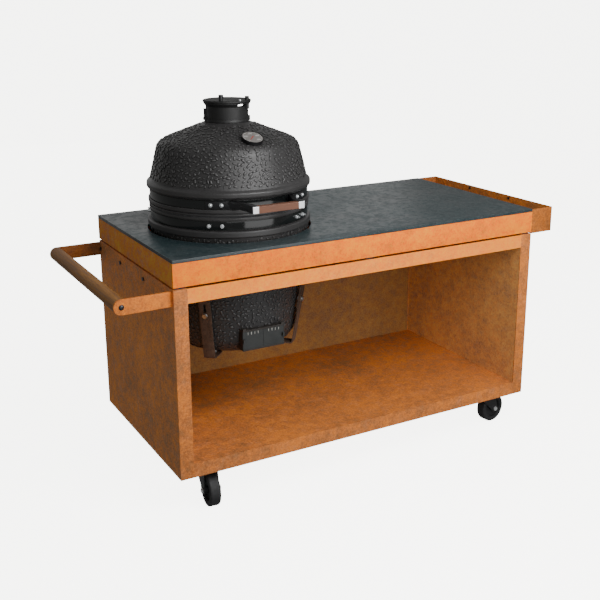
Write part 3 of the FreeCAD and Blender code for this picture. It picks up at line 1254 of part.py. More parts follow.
def make_hinge():
    axis = Vector(0, HINGE_RADIUS, HINGE_HEIGHT)
    along = Vector(1, 0, 0)
    head_radius = HINGE_PIN_RADIUS * HINGE_PIN_HEAD_SHARE
    pin_start = axis - along * (HINGE_HALF_WIDTH + HINGE_HEAD)
    pin_end = axis + along * (HINGE_HALF_WIDTH + HINGE_HEAD)
    pin = fuse([
        rod(HINGE_PIN_RADIUS, pin_start, pin_end),
        rod(head_radius, pin_start - along * HINGE_HEAD, pin_start),
        rod(head_radius, pin_end, pin_end + along * HINGE_HEAD),
    ])
    add("hinge_pin", in_kamado(pin))
    fixed_hole = rod(HINGE_PIN_RADIUS + PRESS_PLAY, pin_start - along, pin_end + along)
    running_hole = rod(HINGE_PIN_RADIUS + RUNNING_FIT, pin_start - along, pin_end + along)
    wall = Part.makeCylinder(BAND_OUTER + SEAT_GAP, 2 * RIM_RADIUS)

    web_depth = HINGE_BOSS_RADIUS * HINGE_WEB_DEPTH_SHARE
    web_rise = HINGE_BOSS_RADIUS * HINGE_WEB_RISE_SHARE

    def ear(x0, x1, low, high, root):
        # A plate from the band to a round boss on the hinge axis.
        web = Part.makePolygon([
            Vector(x0, root, low), Vector(x0, root, high),
            axis + Vector(x0, web_depth, web_rise if high > HINGE_HEIGHT else 0),
            axis + Vector(x0, web_depth, -web_rise if low < HINGE_HEIGHT else 0),
            Vector(x0, root, low),
        ])
        plate = Part.Face(web).extrude(Vector(x1 - x0, 0, 0))
        boss = rod(HINGE_BOSS_RADIUS, axis + Vector(x0, 0, 0), axis + Vector(x1, 0, 0))
        return fuse([plate, boss])

    root = math.sqrt(BAND_SEAT_RADIUS ** 2 - HINGE_HALF_WIDTH ** 2) - HINGE_FOOT
    base_top = BASE_BAND_LOW + BAND_HEIGHT
    outer = HINGE_HALF_WIDTH
    lid_outer = outer - HINGE_PLATE - MOVING_GAP
    lid_low = LID_BAND_LOW
    lid_high = LID_BAND_LOW + BAND_HEIGHT
    angle = math.degrees(math.asin(outer / BAND_OUTER))
    foot_outer = BAND_OUTER + HINGE_FOOT
    first = 180 - angle
    last = 180 + angle
    base_pieces = [sector(foot_outer, BAND_OUTER - 1, BASE_BAND_LOW, base_top, first, last)]
    lid_pieces = [sector(foot_outer, BAND_OUTER - 1, lid_low, lid_high, first, last)]
    for side in (-1, 1):
        x0, x1 = sorted((side * outer, side * (outer - HINGE_PLATE)))
        base_pieces.append(ear(x0, x1, BASE_BAND_LOW, base_top, root))
        x0, x1 = sorted((side * lid_outer, side * (lid_outer - HINGE_PLATE)))
        lid_pieces.append(ear(x0, x1, lid_low, lid_high, root))
    room_radius = LIP_RADIUS + 2 * MOVING_GAP + SEAT_STEP
    shell_room = ring(room_radius, BAND_OUTER - 2, BASE_LIP_LOW - 2, LID_LIP_HIGH + 1)
    base_bracket = fuse(base_pieces).cut(wall).cut(shell_room).cut(fixed_hole)
    lid_bracket = fuse(lid_pieces).cut(wall).cut(shell_room).cut(running_hole)
    add("hinge_base_bracket", in_kamado(base_bracket))
    add("hinge_lid_bracket", in_kamado(lid_bracket))
    springs = []
    reach = SPRING_TURNS * SPRING_PITCH
    for side in (-1, 1):
        start = side * (lid_outer - HINGE_PLATE - SPRING_INSET - reach)
        springs.append(in_kamado(coil(axis + Vector(start, 0, 0), side)))
    add("hinge_springs", *springs)


make_hinge()


# Thermometer on the roof of the lid
def make_thermometer():
    centre, out = thermometer_frame()
    face = centre + out * BEZEL_HEIGHT
    dial_back = face - out * DIAL_DEPTH
    body = fuse([
        rod(BEZEL_RADIUS, centre, face),
        rod(THERMO_STEM_RADIUS, centre - out * THERMO_STEM, centre),
    ])
    body = body.cut(rod(DIAL_RADIUS + DIAL_PLAY, dial_back, face + out))
    body = body.makeFillet(BEZEL_ROUNDING, [e for e in body.Edges if rim_edge(e, face, BEZEL_RADIUS)])
    probe = rod(PROBE_RADIUS, centre - out * PROBE_LENGTH, centre)
    neck_room = turned(lid_outline())
    neck_room.translate(Vector(0, 0, SEAT_GAP))
    body = body.cut(neck_room)
    add("thermometer_body", in_kamado(fuse([body, probe])))
    hub = rod(SPINDLE_RADIUS + RUNNING_FIT, dial_back - out, face)
    dial = rod(DIAL_RADIUS, dial_back, dial_back + out * DIAL_THICKNESS)
    add("thermometer_dial", in_kamado(dial.cut(hub)))
    spindle = rod(SPINDLE_RADIUS, dial_back + out * MOVING_GAP, face - out * (NEEDLE_SINK - NEEDLE_THICKNESS))
    half = NEEDLE_WIDTH / 2
    blade = Part.makePolygon([
        Vector(-half, -NEEDLE_TAIL, 0), Vector(half, -NEEDLE_TAIL, 0),
        Vector(NEEDLE_TIP_HALF, NEEDLE_LENGTH, 0), Vector(-NEEDLE_TIP_HALF, NEEDLE_LENGTH, 0),
        Vector(-half, -NEEDLE_TAIL, 0),
    ])
    blade = Part.Face(blade).extrude(Vector(0, 0, NEEDLE_THICKNESS))
    blade.rotate(Vector(), Vector(0, 0, 1), NEEDLE_TURN)
    stand = FreeCAD.Placement(face - out * NEEDLE_SINK, Rotation(Vector(0, 0, 1), out))
    blade.Placement = stand.multiply(blade.Placement)
    add("thermometer_needle", in_kamado(fuse([spindle, blade])))


def rim_edge(edge, face, radius):
    curve = edge.Curve
    if not hasattr(curve, "Radius") or not hasattr(curve, "Center"):
        return False
    return abs(curve.Radius - radius) < 0.01 and curve.Center.distanceToPoint(face) < 0.01


make_thermometer()


# Top vent: a collar on the dome, a hinged body with windows and a swinging disc
def make_vent():
    spigot = THROAT_RADIUS - VENT_GAP
    throat = spigot - SPIGOT_WALL
    inside = VENT_RADIUS - VENT_WALL
    tall = 2 * DISC_HIGH
    collar = turned([
        (throat, ROOF_TOP - SPIGOT_DEPTH),
        (spigot, ROOF_TOP - SPIGOT_DEPTH),
        (spigot, ROOF_TOP),
        (VENT_RADIUS + COLLAR_FLANGE, ROOF_TOP, SMALL_EDGE),
        (VENT_RADIUS + COLLAR_FLANGE, ROOF_TOP + COLLAR_HEIGHT / 2, LIP_ROUNDING),
        (VENT_RADIUS, COLLAR_TOP, SMALL_EDGE),
        (throat, COLLAR_TOP),
    ])
    body = turned([
        (inside, VENT_BODY_LOW),
        (VENT_RADIUS, VENT_BODY_LOW),
        (VENT_RADIUS, VENT_BODY_HIGH - FLARE_HEIGHT, RIDGE_ROUNDING),
        (FLARE_RADIUS, VENT_BODY_HIGH - FLARE_EDGE, SMALL_EDGE),
        (FLARE_RADIUS, VENT_BODY_HIGH),
        (inside, VENT_BODY_HIGH),
    ])
    for azimuth, half_angle, height in WINDOWS:
        top = VENT_BODY_HIGH - WINDOW_MARGIN
        body = body.cut(sector(FLARE_RADIUS + 1, inside - 1, top - height, top,
                               azimuth - half_angle, azimuth + half_angle))

    axis_height = COLLAR_TOP - VENT_HINGE_DROP
    reach = VENT_HINGE_RADIUS
    along = Vector(1, 0, 0)
    axis = Vector(0, -reach, axis_height)
    lug = fuse([
        rod(VENT_KNUCKLE, axis - along * VENT_LUG_HALF, axis + along * VENT_LUG_HALF),
        box(-VENT_LUG_HALF, VENT_LUG_HALF, -reach - VENT_LUG_DEPTH, -VENT_RADIUS + VENT_ROOT,
            axis_height + VENT_LUG_DEPTH, axis_height + VENT_LUG_HEIGHT),
    ])
    pin_half = VENT_LUG_HALF + VENT_EAR + VENT_PIN_END
    lug = lug.cut(rod(VENT_PIN_RADIUS + RUNNING_FIT, axis - along * pin_half, axis + along * pin_half))
    lug = lug.cut(Part.makeCylinder(VENT_RADIUS + SEAT_STEP, VENT_BODY_LOW))
    lug = lug.cut(Part.makeCylinder(VENT_RADIUS - 1, tall))
    ears = []
    for side in (-1, 1):
        ear_start = VENT_LUG_HALF + MOVING_GAP
        x0, x1 = sorted((side * ear_start, side * (ear_start + VENT_EAR)))
        ears.append(box(x0, x1, -reach, -VENT_RADIUS + VENT_ROOT, ROOF_TOP + 1, axis_height + 1))
        ears.append(rod(VENT_KNUCKLE, axis + along * x0, axis + along * x1))
    pin = rod(VENT_PIN_RADIUS, axis - along * pin_half, axis + along * pin_half)
    ear_room = Part.makeCylinder(VENT_RADIUS + SEAT_STEP, tall, Vector(0, 0, COLLAR_TOP))
    ear_set = fuse([fuse(ears).cut(ear_room), pin])
    latch_out = -VENT_RADIUS - LATCH_REACH
    latch_in = -VENT_RADIUS + VENT_ROOT
    lip = box(-LATCH_HALF, LATCH_HALF, latch_out, latch_in, VENT_BODY_LOW, VENT_BODY_LOW + LATCH_HEIGHT)
    keeper = box(-LATCH_HALF, LATCH_HALF, latch_out, latch_in, COLLAR_TOP - LATCH_HEIGHT, COLLAR_TOP)
    pivot = polar(PIVOT_RADIUS, PIVOT_AZIMUTH, VENT_BODY_HIGH)
    up = Vector(0, 0, 1)
    boss = rod(PIVOT_BOSS_RADIUS, pivot - up * PIVOT_BOSS_HEIGHT, pivot)
    shoulder = pivot + up * (DISC_THICKNESS + 2 * VENT_GAP)
    screw = fuse([
        rod(PIVOT_SHANK, pivot - up, shoulder),
        rod(PIVOT_BOSS_RADIUS, shoulder, shoulder + up * PIVOT_HEAD_HEIGHT),
    ])
    body = fuse([body, at_azimuth(lug, VENT_HINGE_AZIMUTH), at_azimuth(lip, LATCH_AZIMUTH), boss, screw])
    body = body.cut(Part.makeCylinder(inside, VENT_BODY_HIGH))
    collar = fuse([collar, at_azimuth(ear_set, VENT_HINGE_AZIMUTH), at_azimuth(keeper, LATCH_AZIMUTH)])
    collar = collar.cut(Part.makeCylinder(throat, tall))
    add("vent_collar", in_kamado(collar))
    add("vent_body", in_kamado(body))

    recess = inside - 1
    disc = turned([
        (0, DISC_HIGH - DISC_WALL),
        (recess, DISC_HIGH - DISC_WALL, LIP_ROUNDING),
        (recess, DISC_LOW),
        (FLARE_RADIUS, DISC_LOW),
        (DISC_RADIUS, DISC_LOW + DISC_ROUNDING, SMALL_EDGE),
        (DISC_RADIUS, DISC_HIGH - 1, DISC_ROUNDING),
        (DISC_RADIUS - DISC_BEVEL, DISC_HIGH, LIP_ROUNDING),
        (0, DISC_HIGH),
    ])
    hole = rod(PIVOT_SHANK + RUNNING_FIT, pivot, shoulder)
    add("damper_disc", in_kamado(disc.cut(hole)))
    knob = turned([
        (0, 0),
        (KNOB_NECK, 0),
        (KNOB_NECK, KNOB_NECK_HEIGHT),
        (KNOB_SIZE, KNOB_NECK_HEIGHT + 1),
        (KNOB_SIZE, KNOB_HEIGHT, LIP_ROUNDING),
        (0, KNOB_HEIGHT),
    ])
    knob.translate(polar(KNOB_RADIUS, KNOB_AZIMUTH, DISC_HIGH))
    add("damper_knob", in_kamado(knob))
    lock_foot = polar(LOCK_RADIUS, LOCK_AZIMUTH, DISC_HIGH - 1)
    lock = rod(LOCK_SIZE, lock_foot, lock_foot + up * (LOCK_HEIGHT + 1))
    edge_room = turned([
        (0, DISC_LOW), (DISC_RADIUS, DISC_LOW), (DISC_RADIUS, DISC_HIGH - 1, DISC_ROUNDING),
        (DISC_RADIUS - DISC_BEVEL, DISC_HIGH, LIP_ROUNDING), (0, DISC_HIGH),
    ])
    add("damper_screw", in_kamado(lock.cut(edge_room)))


make_vent()


# Casters
def caster_place(name):
    x = CASTER_INSET_X if "left" in name else CABINET_WIDTH - CASTER_INSET_X
    y = CASTER_INSET_Y if "front" in name else CABINET_DEPTH - CASTER_INSET_Y
    return Vector(x, y, 0)


def make_caster(name, heading):
    place = caster_place(name)
    plate_low = GROUND_CLEARANCE - CASTER_PLATE_THICKNESS
    race_high = plate_low - MOVING_GAP
    race_low = race_high - SWIVEL_HEIGHT
    crown_low = race_low - FORK_SHEET
    half_in = WHEEL_WIDTH / 2 + WHEEL_SIDE_PLAY
    half_out = half_in + FORK_SHEET
    hub = Vector(CASTER_TRAIL, 0, WHEEL_RADIUS)
    across = Vector(0, 1, 0)

    race = Part.makeCylinder(SWIVEL_RADIUS, SWIVEL_HEIGHT, Vector(0, 0, race_low))
    crown = box(-FORK_BACK, CASTER_TRAIL, -half_out, half_out, crown_low, race_low)
    legs = []
    for side in (-1, 1):
        y0, y1 = sorted((side * half_in, side * half_out))
        outline = Part.makePolygon([
            Vector(-FORK_BACK, y0, race_low), Vector(CASTER_TRAIL, y0, race_low),
            Vector(CASTER_TRAIL + FORK_END_HALF_WIDTH, y0, WHEEL_RADIUS + FORK_END_RISE),
            Vector(CASTER_TRAIL - FORK_END_HALF_WIDTH, y0, WHEEL_RADIUS - FORK_END_DROP),
            Vector(-FORK_BACK, y0, crown_low - FORK_NOSE), Vector(-FORK_BACK, y0, race_low),
        ])
        legs.append(Part.Face(outline).extrude(Vector(0, y1 - y0, 0)))
        legs.append(rod(FORK_END_RADIUS, hub + across * y0, hub + across * y1))
    pin_hole = Part.makeCylinder(KINGPIN_RADIUS + RUNNING_FIT, GROUND_CLEARANCE - WHEEL_RADIUS,
                                 Vector(0, 0, WHEEL_RADIUS))
    axle_hole = rod(AXLE_RADIUS + PRESS_PLAY, hub - across * 2 * half_out, hub + across * 2 * half_out)
    fork = fuse([race, crown] + legs).cut(pin_hole).cut(axle_hole)
    washer = half_out + AXLE_WASHER_THICKNESS
    nut = washer + AXLE_NUT_HEIGHT
    axle = fuse([
        rod(AXLE_RADIUS, hub - across * washer, hub + across * washer),
        rod(AXLE_WASHER_RADIUS, hub + across * half_out, hub + across * washer),
        rod(AXLE_WASHER_RADIUS, hub - across * washer, hub - across * half_out),
        hexagon(AXLE_NUT_RADIUS, hub - across * washer, hub - across * nut),
        hexagon(AXLE_NUT_RADIUS, hub + across * washer, hub + across * nut),
    ])

    tyre_inner = WHEEL_RADIUS - TYRE_THICKNESS
    half = WHEEL_WIDTH / 2
    tyre = turned([
        (tyre_inner, -half + TYRE_LIP, TYRE_LIP_ROUNDING),
        (WHEEL_RADIUS, -half, TYRE_SHOULDER),
        (WHEEL_RADIUS, half, TYRE_SHOULDER),
        (tyre_inner, half - TYRE_LIP, TYRE_LIP_ROUNDING),
    ])
    bore = AXLE_RADIUS + RUNNING_FIT
    boss = half_in - MOVING_GAP
    rim = tyre_inner - RIM_GAP
    flange = half - RIM_LIP
    hub_disc = turned([
        (bore, -boss),
        (HUB_RADIUS, -boss, SMALL_EDGE),
        (HUB_RADIUS, -HUB_WEB_HALF, LIP_ROUNDING),
        (rim - RIM_DISH_FOOT, -HUB_WEB_HALF, RIDGE_ROUNDING),
        (rim - RIM_DISH, -flange, SMALL_EDGE),
        (rim, -flange),
        (rim, flange),
        (rim - RIM_DISH, flange, SMALL_EDGE),
        (rim - RIM_DISH_FOOT, HUB_WEB_HALF, RIDGE_ROUNDING),
        (HUB_RADIUS, HUB_WEB_HALF, LIP_ROUNDING),
        (HUB_RADIUS, boss, SMALL_EDGE),
        (bore, boss),
    ])
    wheel = []
    for shape in (tyre, hub_disc):
        shape.rotate(Vector(), Vector(1, 0, 0), 90)
        shape.translate(hub)
        wheel.append(shape)

    def set_down(shape):
        moved = at_azimuth(shape, heading)
        moved.translate(place)
        return moved

    add("caster_fork_" + name, set_down(fork), set_down(axle))
    add("caster_wheel_" + name, set_down(wheel[0]), set_down(wheel[1]))
    half_length = CASTER_PLATE_LENGTH / 2
    half_width = CASTER_PLATE_WIDTH / 2
    plate = box(-half_length, half_length, -half_width, half_width, plate_low, GROUND_CLEARANCE)
    foot = crown_low - KINGPIN_FOOT
    head = crown_low - MOVING_GAP - KINGPIN_HEAD_THICKNESS
    kingpin = fuse([
        plate,
        Part.makeCylinder(KINGPIN_RADIUS, plate_low - foot, Vector(0, 0, foot)),
        Part.makeCylinder(KINGPIN_RADIUS + KINGPIN_HEAD_OVERLAP, KINGPIN_HEAD_THICKNESS, Vector(0, 0, head)),
    ])
    pieces = [kingpin]
    for x in (-half_length + CASTER_BOLT_INSET, half_length - CASTER_BOLT_INSET):
        for y in (-half_width + CASTER_BOLT_INSET, half_width - CASTER_BOLT_INSET):
            start = Vector(x, y, plate_low)
            pieces[0] = pieces[0].cut(rod(SMALL_BOLT_RADIUS + RUNNING_FIT, start - Vector(0, 0, 1),
                                          start + Vector(0, 0, CASTER_PLATE_THICKNESS + 1)))
            pieces.append(fuse([
                hexagon(SMALL_HEAD_RADIUS, start - Vector(0, 0, SMALL_HEAD_HEIGHT), start),
                rod(SMALL_BOLT_RADIUS, start - Vector(0, 0, 1), start + Vector(0, 0, CASTER_PLATE_THICKNESS)),
            ]))
    for piece in pieces:
        piece.translate(place)
    return pieces


plates = []
for caster_name, caster_heading in CASTER_HEADINGS.items():
    plates.extend(make_caster(caster_name, caster_heading))
add("caster_plates", *plates)

os.makedirs("parts", exist_ok=True)
for name, shape in parts.items():
    shape.translate(Vector(-ORIGIN_X, -ORIGIN_Y, 0))
    shape.exportStep("parts/" + name + ".step")
print(len(parts), "nodes")
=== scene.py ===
# %% [markdown]
# # A kamado grill table
# The object is a rusted steel cabinet on casters. It has a slate worktop, a push handle on its left
# end and a planter on its right end, and it carries a ceramic kamado. The construction comes from the
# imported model, so this lesson is about finishes, soft edges and the small things that repeat.

# %% Load the frame
import json
import math

import bmesh
import bpy
from mathutils import Matrix, Vector

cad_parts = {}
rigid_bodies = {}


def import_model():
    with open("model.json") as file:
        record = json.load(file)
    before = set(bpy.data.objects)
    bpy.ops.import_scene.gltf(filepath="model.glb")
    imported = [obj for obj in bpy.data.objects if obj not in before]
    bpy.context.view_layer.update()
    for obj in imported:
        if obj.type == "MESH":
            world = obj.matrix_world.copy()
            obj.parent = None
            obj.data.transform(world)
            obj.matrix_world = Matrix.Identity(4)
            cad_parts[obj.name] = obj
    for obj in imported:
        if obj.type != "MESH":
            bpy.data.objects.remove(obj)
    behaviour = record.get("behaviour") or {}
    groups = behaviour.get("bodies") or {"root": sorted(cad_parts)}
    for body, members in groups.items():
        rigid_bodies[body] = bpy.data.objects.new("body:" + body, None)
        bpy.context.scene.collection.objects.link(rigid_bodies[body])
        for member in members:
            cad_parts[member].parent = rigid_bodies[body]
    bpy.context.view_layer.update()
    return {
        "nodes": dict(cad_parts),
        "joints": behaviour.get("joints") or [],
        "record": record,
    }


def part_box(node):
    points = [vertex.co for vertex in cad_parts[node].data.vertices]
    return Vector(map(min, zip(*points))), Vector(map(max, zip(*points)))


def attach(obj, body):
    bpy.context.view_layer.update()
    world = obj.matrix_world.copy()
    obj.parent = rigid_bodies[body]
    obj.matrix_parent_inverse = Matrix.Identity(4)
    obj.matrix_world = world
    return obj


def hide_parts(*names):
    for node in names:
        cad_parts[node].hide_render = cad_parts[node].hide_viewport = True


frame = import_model()
nodes = frame["nodes"]

# %% [markdown]
# Everything on the kamado turns about one upright axis. The round base shell's box gives that axis, so
# no number is typed twice. Lengths are in metres, and MM turns millimetres into them.

# %% Where things are
MM = 0.001
base_low, base_high = (Vector(corner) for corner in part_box("base_shell"))
AXIS = Vector(((base_low.x + base_high.x) / 2, (base_low.y + base_high.y) / 2, 0))
WORKTOP = Vector(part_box("worktop")[1]).z
RIM = (base_high.x - base_low.x) / 2
print("kamado axis", tuple(round(c, 4) for c in AXIS), "rim radius", round(RIM, 4))

# %% [markdown]
# ## A small kit for materials
# A finish here is a Principled shader with layers of noise in front of it. `Finish` keeps the node
# calls short: each method adds one node and gives back its output. All patterns read Object
# coordinates, so they stay on the piece when it moves and are the same from every side.


class Finish:
    def __init__(self, name, **sockets):
        self.material = bpy.data.materials.new(name)
        self.material.use_nodes = True
        self.tree = self.material.node_tree
        self.shader = self.tree.nodes["Principled BSDF"]
        self.place = self.tree.nodes.new("ShaderNodeTexCoord").outputs["Object"]
        for socket, value in sockets.items():
            self.set(socket, value)

    def set(self, socket, value):
        self.feed(self.shader, socket.replace("_", " "), value)

    def feed(self, target, socket, value):
        if isinstance(value, bpy.types.NodeSocket):
            self.tree.links.new(value, target.inputs[socket])
        elif isinstance(value, tuple) and len(value) == 3 and target.inputs[socket].type == "RGBA":
            target.inputs[socket].default_value = (*value, 1)
        else:
            target.inputs[socket].default_value = value

    def add(self, kind, sockets, **settings):
        made = self.tree.nodes.new(kind)
        for name, value in settings.items():
            setattr(made, name, value)
        for socket, value in sockets.items():
            self.feed(made, socket, value)
        return made

    def stretched(self, *scale):
        return self.add("ShaderNodeMapping", {"Vector": self.place, "Scale": scale}).outputs["Vector"]

    def noise(self, scale, detail=3.0, roughness=0.5, distortion=0.0, place=None):
        sockets = {"Vector": place or self.place, "Scale": scale, "Detail": detail,
                   "Roughness": roughness, "Distortion": distortion}
        return self.add("ShaderNodeTexNoise", sockets).outputs["Fac"]

    def ramp(self, factor, *stops):
        made = self.add("ShaderNodeValToRGB", {"Fac": factor})
        points = made.color_ramp.elements
        while len(points) < len(stops):
            points.new(0.5)
        for point, (position, colour) in zip(points, stops):
            point.position = position
            point.color = (*colour, 1) if isinstance(colour, tuple) else (colour, colour, colour, 1)
        return made.outputs["Color"]

    def mix(self, factor, a, b, how="MIX"):
        made = self.tree.nodes.new("ShaderNodeMix")
        made.data_type = "RGBA"
        made.blend_type = how
        for index, value in ((0, factor), (6, a), (7, b)):
            self.feed(made, index, value)
        return made.outputs[2]

    def math(self, operation, a, b=0.5):
        made = self.tree.nodes.new("ShaderNodeMath")
        made.operation = operation
        self.feed(made, 0, a)
        self.feed(made, 1, b)
        return made.outputs[0]

    def along(self, axis):
        return self.add("ShaderNodeSeparateXYZ", {"Vector": self.place}).outputs[axis]

    def looks_along(self, direction):
        # The cosine between a face's normal and a direction in the piece's own axes.
        normal = self.place.node.outputs["Normal"]
        sockets = {0: normal, 1: direction}
        return self.add("ShaderNodeVectorMath", sockets, operation="DOT_PRODUCT").outputs["Value"]

    def bump(self, height, strength, depth):
        made = self.add("ShaderNodeBump", {"Height": height, "Strength": strength, "Distance": depth})
        if self.shader.inputs["Normal"].is_linked:
            self.tree.links.new(self.shader.inputs["Normal"].links[0].from_socket, made.inputs["Normal"])
        self.tree.links.new(made.outputs["Normal"], self.shader.inputs["Normal"])


# %% [markdown]
# ## Weathered steel
# The cabinet is left to rust in the rain until it has a tight, matt skin. Up close that skin is never
# one colour: bright orange bloom lies over brown scale, with small dark pits and a few lilac streaks.
# Broad noise sets where bloom and scale lie, finer noise breaks their edges, and the finest is grain.
# Two tints paint light and shade: faces that look along `facing`, either way, are tinted for how
# light falls on them, and `back` darkens what lies behind the middle of the table, painted shade.


# %% Weathered steel
def weathered_steel(name, bloom, rust, scale, pale, wear=0.5, painted_face_shading=(1.25, 1.5, 1.9), shine=0.3,
                    facing=(1, 0, 0), back=None):
    steel = Finish(name, Specular_IOR_Level=shine)
    clouds = steel.noise(5.0, 5.0, 0.6)
    patches = steel.noise(34.0, 10.0, 0.72, 0.2)
    colour = steel.ramp(steel.mix(0.62, clouds, patches), (0.38, scale), (0.49, rust), (0.58, bloom))
    lilac = steel.ramp(steel.noise(21.0, 9.0, 0.76, 0.2), (0.52, 0.0), (0.70, 0.36))
    colour = steel.mix(lilac, colour, pale)
    pits = steel.ramp(steel.noise(85.0, 7.0, 0.74), (0.60, 0.0), (0.74, wear))
    colour = steel.mix(pits, colour, scale)
    grain = steel.noise(160.0, 7.0, 0.8)
    colour = steel.mix(0.8, colour, steel.ramp(grain, (0.32, 0.2), (0.68, 0.8)), "OVERLAY")
    # Painted light and shade: faces that look along facing, either way, are tinted for how light falls on
    # them.
    either_way = steel.math("ABSOLUTE", steel.looks_along(facing))
    colour = steel.mix(steel.math("GREATER_THAN", either_way, 0.7), colour, painted_face_shading, "MULTIPLY")
    # Painted shade: what lies behind the middle of the table is darkened.
    if back:
        painted_shade_behind = steel.math("GREATER_THAN", steel.along("Y"), 0.0)
        colour = steel.mix(painted_shade_behind, colour, back, "MULTIPLY")
    steel.set("Base_Color", colour)
    steel.set("Roughness", steel.ramp(patches, (0.35, 0.52), (0.6, 0.75)))
    steel.bump(steel.mix(0.5, patches, grain), 0.4, 0.6 * MM)
    return steel.material


# With the default tint, faces that look along X, the ends and the bay's sides, are made lighter and paler:
# painted light.
CORTEN = weathered_steel("Weathered steel", (0.62, 0.185, 0.030), (0.48, 0.150, 0.034),
                         (0.30, 0.118, 0.038), (0.50, 0.225, 0.12))
# The lining inside the bay: faces that look forward or back are darkened, painted shade.
LINING_STEEL = weathered_steel("Sheltered weathered steel with painted shade", (0.78, 0.36, 0.105), (0.64, 0.30, 0.10),
                               (0.48, 0.24, 0.11), (0.66, 0.38, 0.17), painted_face_shading=(0.44, 0.43, 0.36),
                               facing=(0, 1, 0))
# The rails: faces that look up or down are darkened, painted shade in the gap under the apron.
RAIL_STEEL = weathered_steel("Open weathered steel with painted shade", (1.0, 0.30, 0.022), (1.0, 0.265, 0.022),
                             (0.86, 0.235, 0.032), (1.0, 0.40, 0.10), painted_face_shading=(0.2, 0.2, 0.25),
                             facing=(0, 0, 1))
# Its end faces carry the same painted light.
PLANTER_STEEL = weathered_steel("Planter weathered steel", (0.46, 0.128, 0.015), (0.35, 0.103, 0.016),
                                (0.23, 0.084, 0.021), (0.37, 0.152, 0.055))
# The arms: the arm behind the middle of the table is darkened by back, painted shade; their end faces carry
# the default painted light.
ARM_STEEL = weathered_steel("Arm weathered steel with painted shade", (0.72, 0.195, 0.020), (0.60, 0.160, 0.020),
                            (0.40, 0.128, 0.027), (0.64, 0.26, 0.09), back=(0.4, 0.45, 0.6))
# The apron is a brighter, more orange copy of the steel; its end faces are made duller and less orange,
# painted shade.
APRON_STEEL = weathered_steel("Bright apron steel with painted end shade", (1.0, 0.26, 0.010), (0.96, 0.19, 0.008),
                              (0.74, 0.17, 0.020), (1.0, 0.36, 0.04), 0.45, (0.68, 1.3, 6.0), 0.06)
STRAP_STEEL = weathered_steel("Dark weathered steel", (0.092, 0.056, 0.038), (0.078, 0.046, 0.031),
                              (0.050, 0.031, 0.021), (0.090, 0.062, 0.046), painted_face_shading=(1.0, 1.0, 1.0))
print("steel finishes:", CORTEN.name, "and", STRAP_STEEL.name)

# %% [markdown]
# ## Slate
# The slab is a dark stone with a brushed, slightly oily face. Its colour drifts between blue-black and
# slate grey in clouds a hand wide, with fine pale specks, and its polish drifts with the colour.


# %% Slate
def slate():
    stone = Finish("Brushed slate", Specular_IOR_Level=0.42)
    clouds = stone.noise(6.0, 7.0, 0.62, 0.4)
    specks = stone.noise(170.0, 5.0, 0.75)
    veins = stone.ramp(stone.noise(38.0, 8.0, 0.7, 0.8), (0.42, 0.0), (0.62, 1.0))
    colour = stone.ramp(clouds, (0.36, (0.008, 0.020, 0.024)), (0.50, (0.020, 0.033, 0.037)),
                        (0.64, (0.037, 0.044, 0.047)))
    colour = stone.mix(stone.math("MULTIPLY", veins, 0.17), colour, (0.050, 0.076, 0.078))
    colour = stone.mix(stone.ramp(specks, (0.54, 0.0), (0.68, 0.6)), colour, (0.15, 0.19, 0.19))
    stone.set("Base_Color", colour)
    stone.set("Roughness", stone.ramp(stone.mix(0.5, clouds, veins), (0.3, 0.30), (0.7, 0.46)))
    stone.bump(stone.mix(0.4, stone.noise(45.0, 5.0, 0.6), specks), 0.3, 0.5 * MM)
    return stone.material


SLATE = slate()
print("stone finish:", SLATE.name)

# %% [markdown]
# ## Ceramic
# The kamado's glaze is charcoal, neither matt nor glossy. On the pebbled fields the pebbles are
# painted lighter than the ground, painted light, and dark at their feet, painted shade; the rims are
# smooth and only finely speckled.


# %% Ceramic
def glaze(name, tone, shine, fleck, foot=None):
    # foot names an attribute, low where a ridge meets the ground: that line is painted dark, painted shade.
    ceramic = Finish(name, Specular_IOR_Level=0.5)
    broad = ceramic.noise(9.0, 4.0, 0.5)
    fine = ceramic.noise(900.0, 2.0, 0.6)
    dark = tuple(channel * 0.75 for channel in tone)
    light = tuple(channel * 2.2 for channel in tone)
    flecks = ceramic.ramp(fine, (0.35, 0.0), (0.75, fleck))
    colour = ceramic.mix(flecks, ceramic.ramp(broad, (0.3, dark), (0.7, tone)), light)
    if foot:
        rise = ceramic.add("ShaderNodeAttribute", {}, attribute_name=foot).outputs["Fac"]
        # Painted shade at the foot of each ridge: darker and less shiny.
        colour = ceramic.mix(ceramic.ramp(rise, (0.45, 0.0), (0.85, 1.0)), (0.004, 0.004, 0.004), colour)
        ceramic.set("Specular_IOR_Level", ceramic.ramp(rise, (0.35, 0.05), (0.75, 0.5)))
    ceramic.set("Base_Color", colour)
    ceramic.set("Roughness", ceramic.ramp(broad, (0.3, shine), (0.7, shine + 0.1)))
    ceramic.bump(ceramic.mix(0.5, fine, ceramic.noise(150.0, 4.0, 0.6)), 0.22, 0.35 * MM)
    return ceramic.material


GLAZE = glaze("Charcoal glaze", (0.029, 0.028, 0.028), 0.36, 0.25)
# The pebbles' glaze is twice as light as the ground's: painted light on the ridges.
PEBBLE_GLAZE = glaze("Charcoal glaze on pebbles", (0.058, 0.056, 0.056), 0.26, 0.1, "rise")


def fire_clay():
    clay = Finish("Fired clay", Specular_IOR_Level=0.3)
    soot = clay.noise(14.0, 6.0, 0.65, 0.4)
    grit = clay.noise(500.0, 3.0, 0.7)
    clay.set("Base_Color", clay.ramp(soot, (0.32, (0.16, 0.13, 0.10)), (0.48, (0.40, 0.33, 0.26)),
                                     (0.65, (0.55, 0.47, 0.38))))
    clay.set("Roughness", clay.ramp(grit, (0.3, 0.75), (0.7, 0.95)))
    clay.bump(clay.mix(0.4, soot, grit), 0.4, 0.6 * MM)
    return clay.material


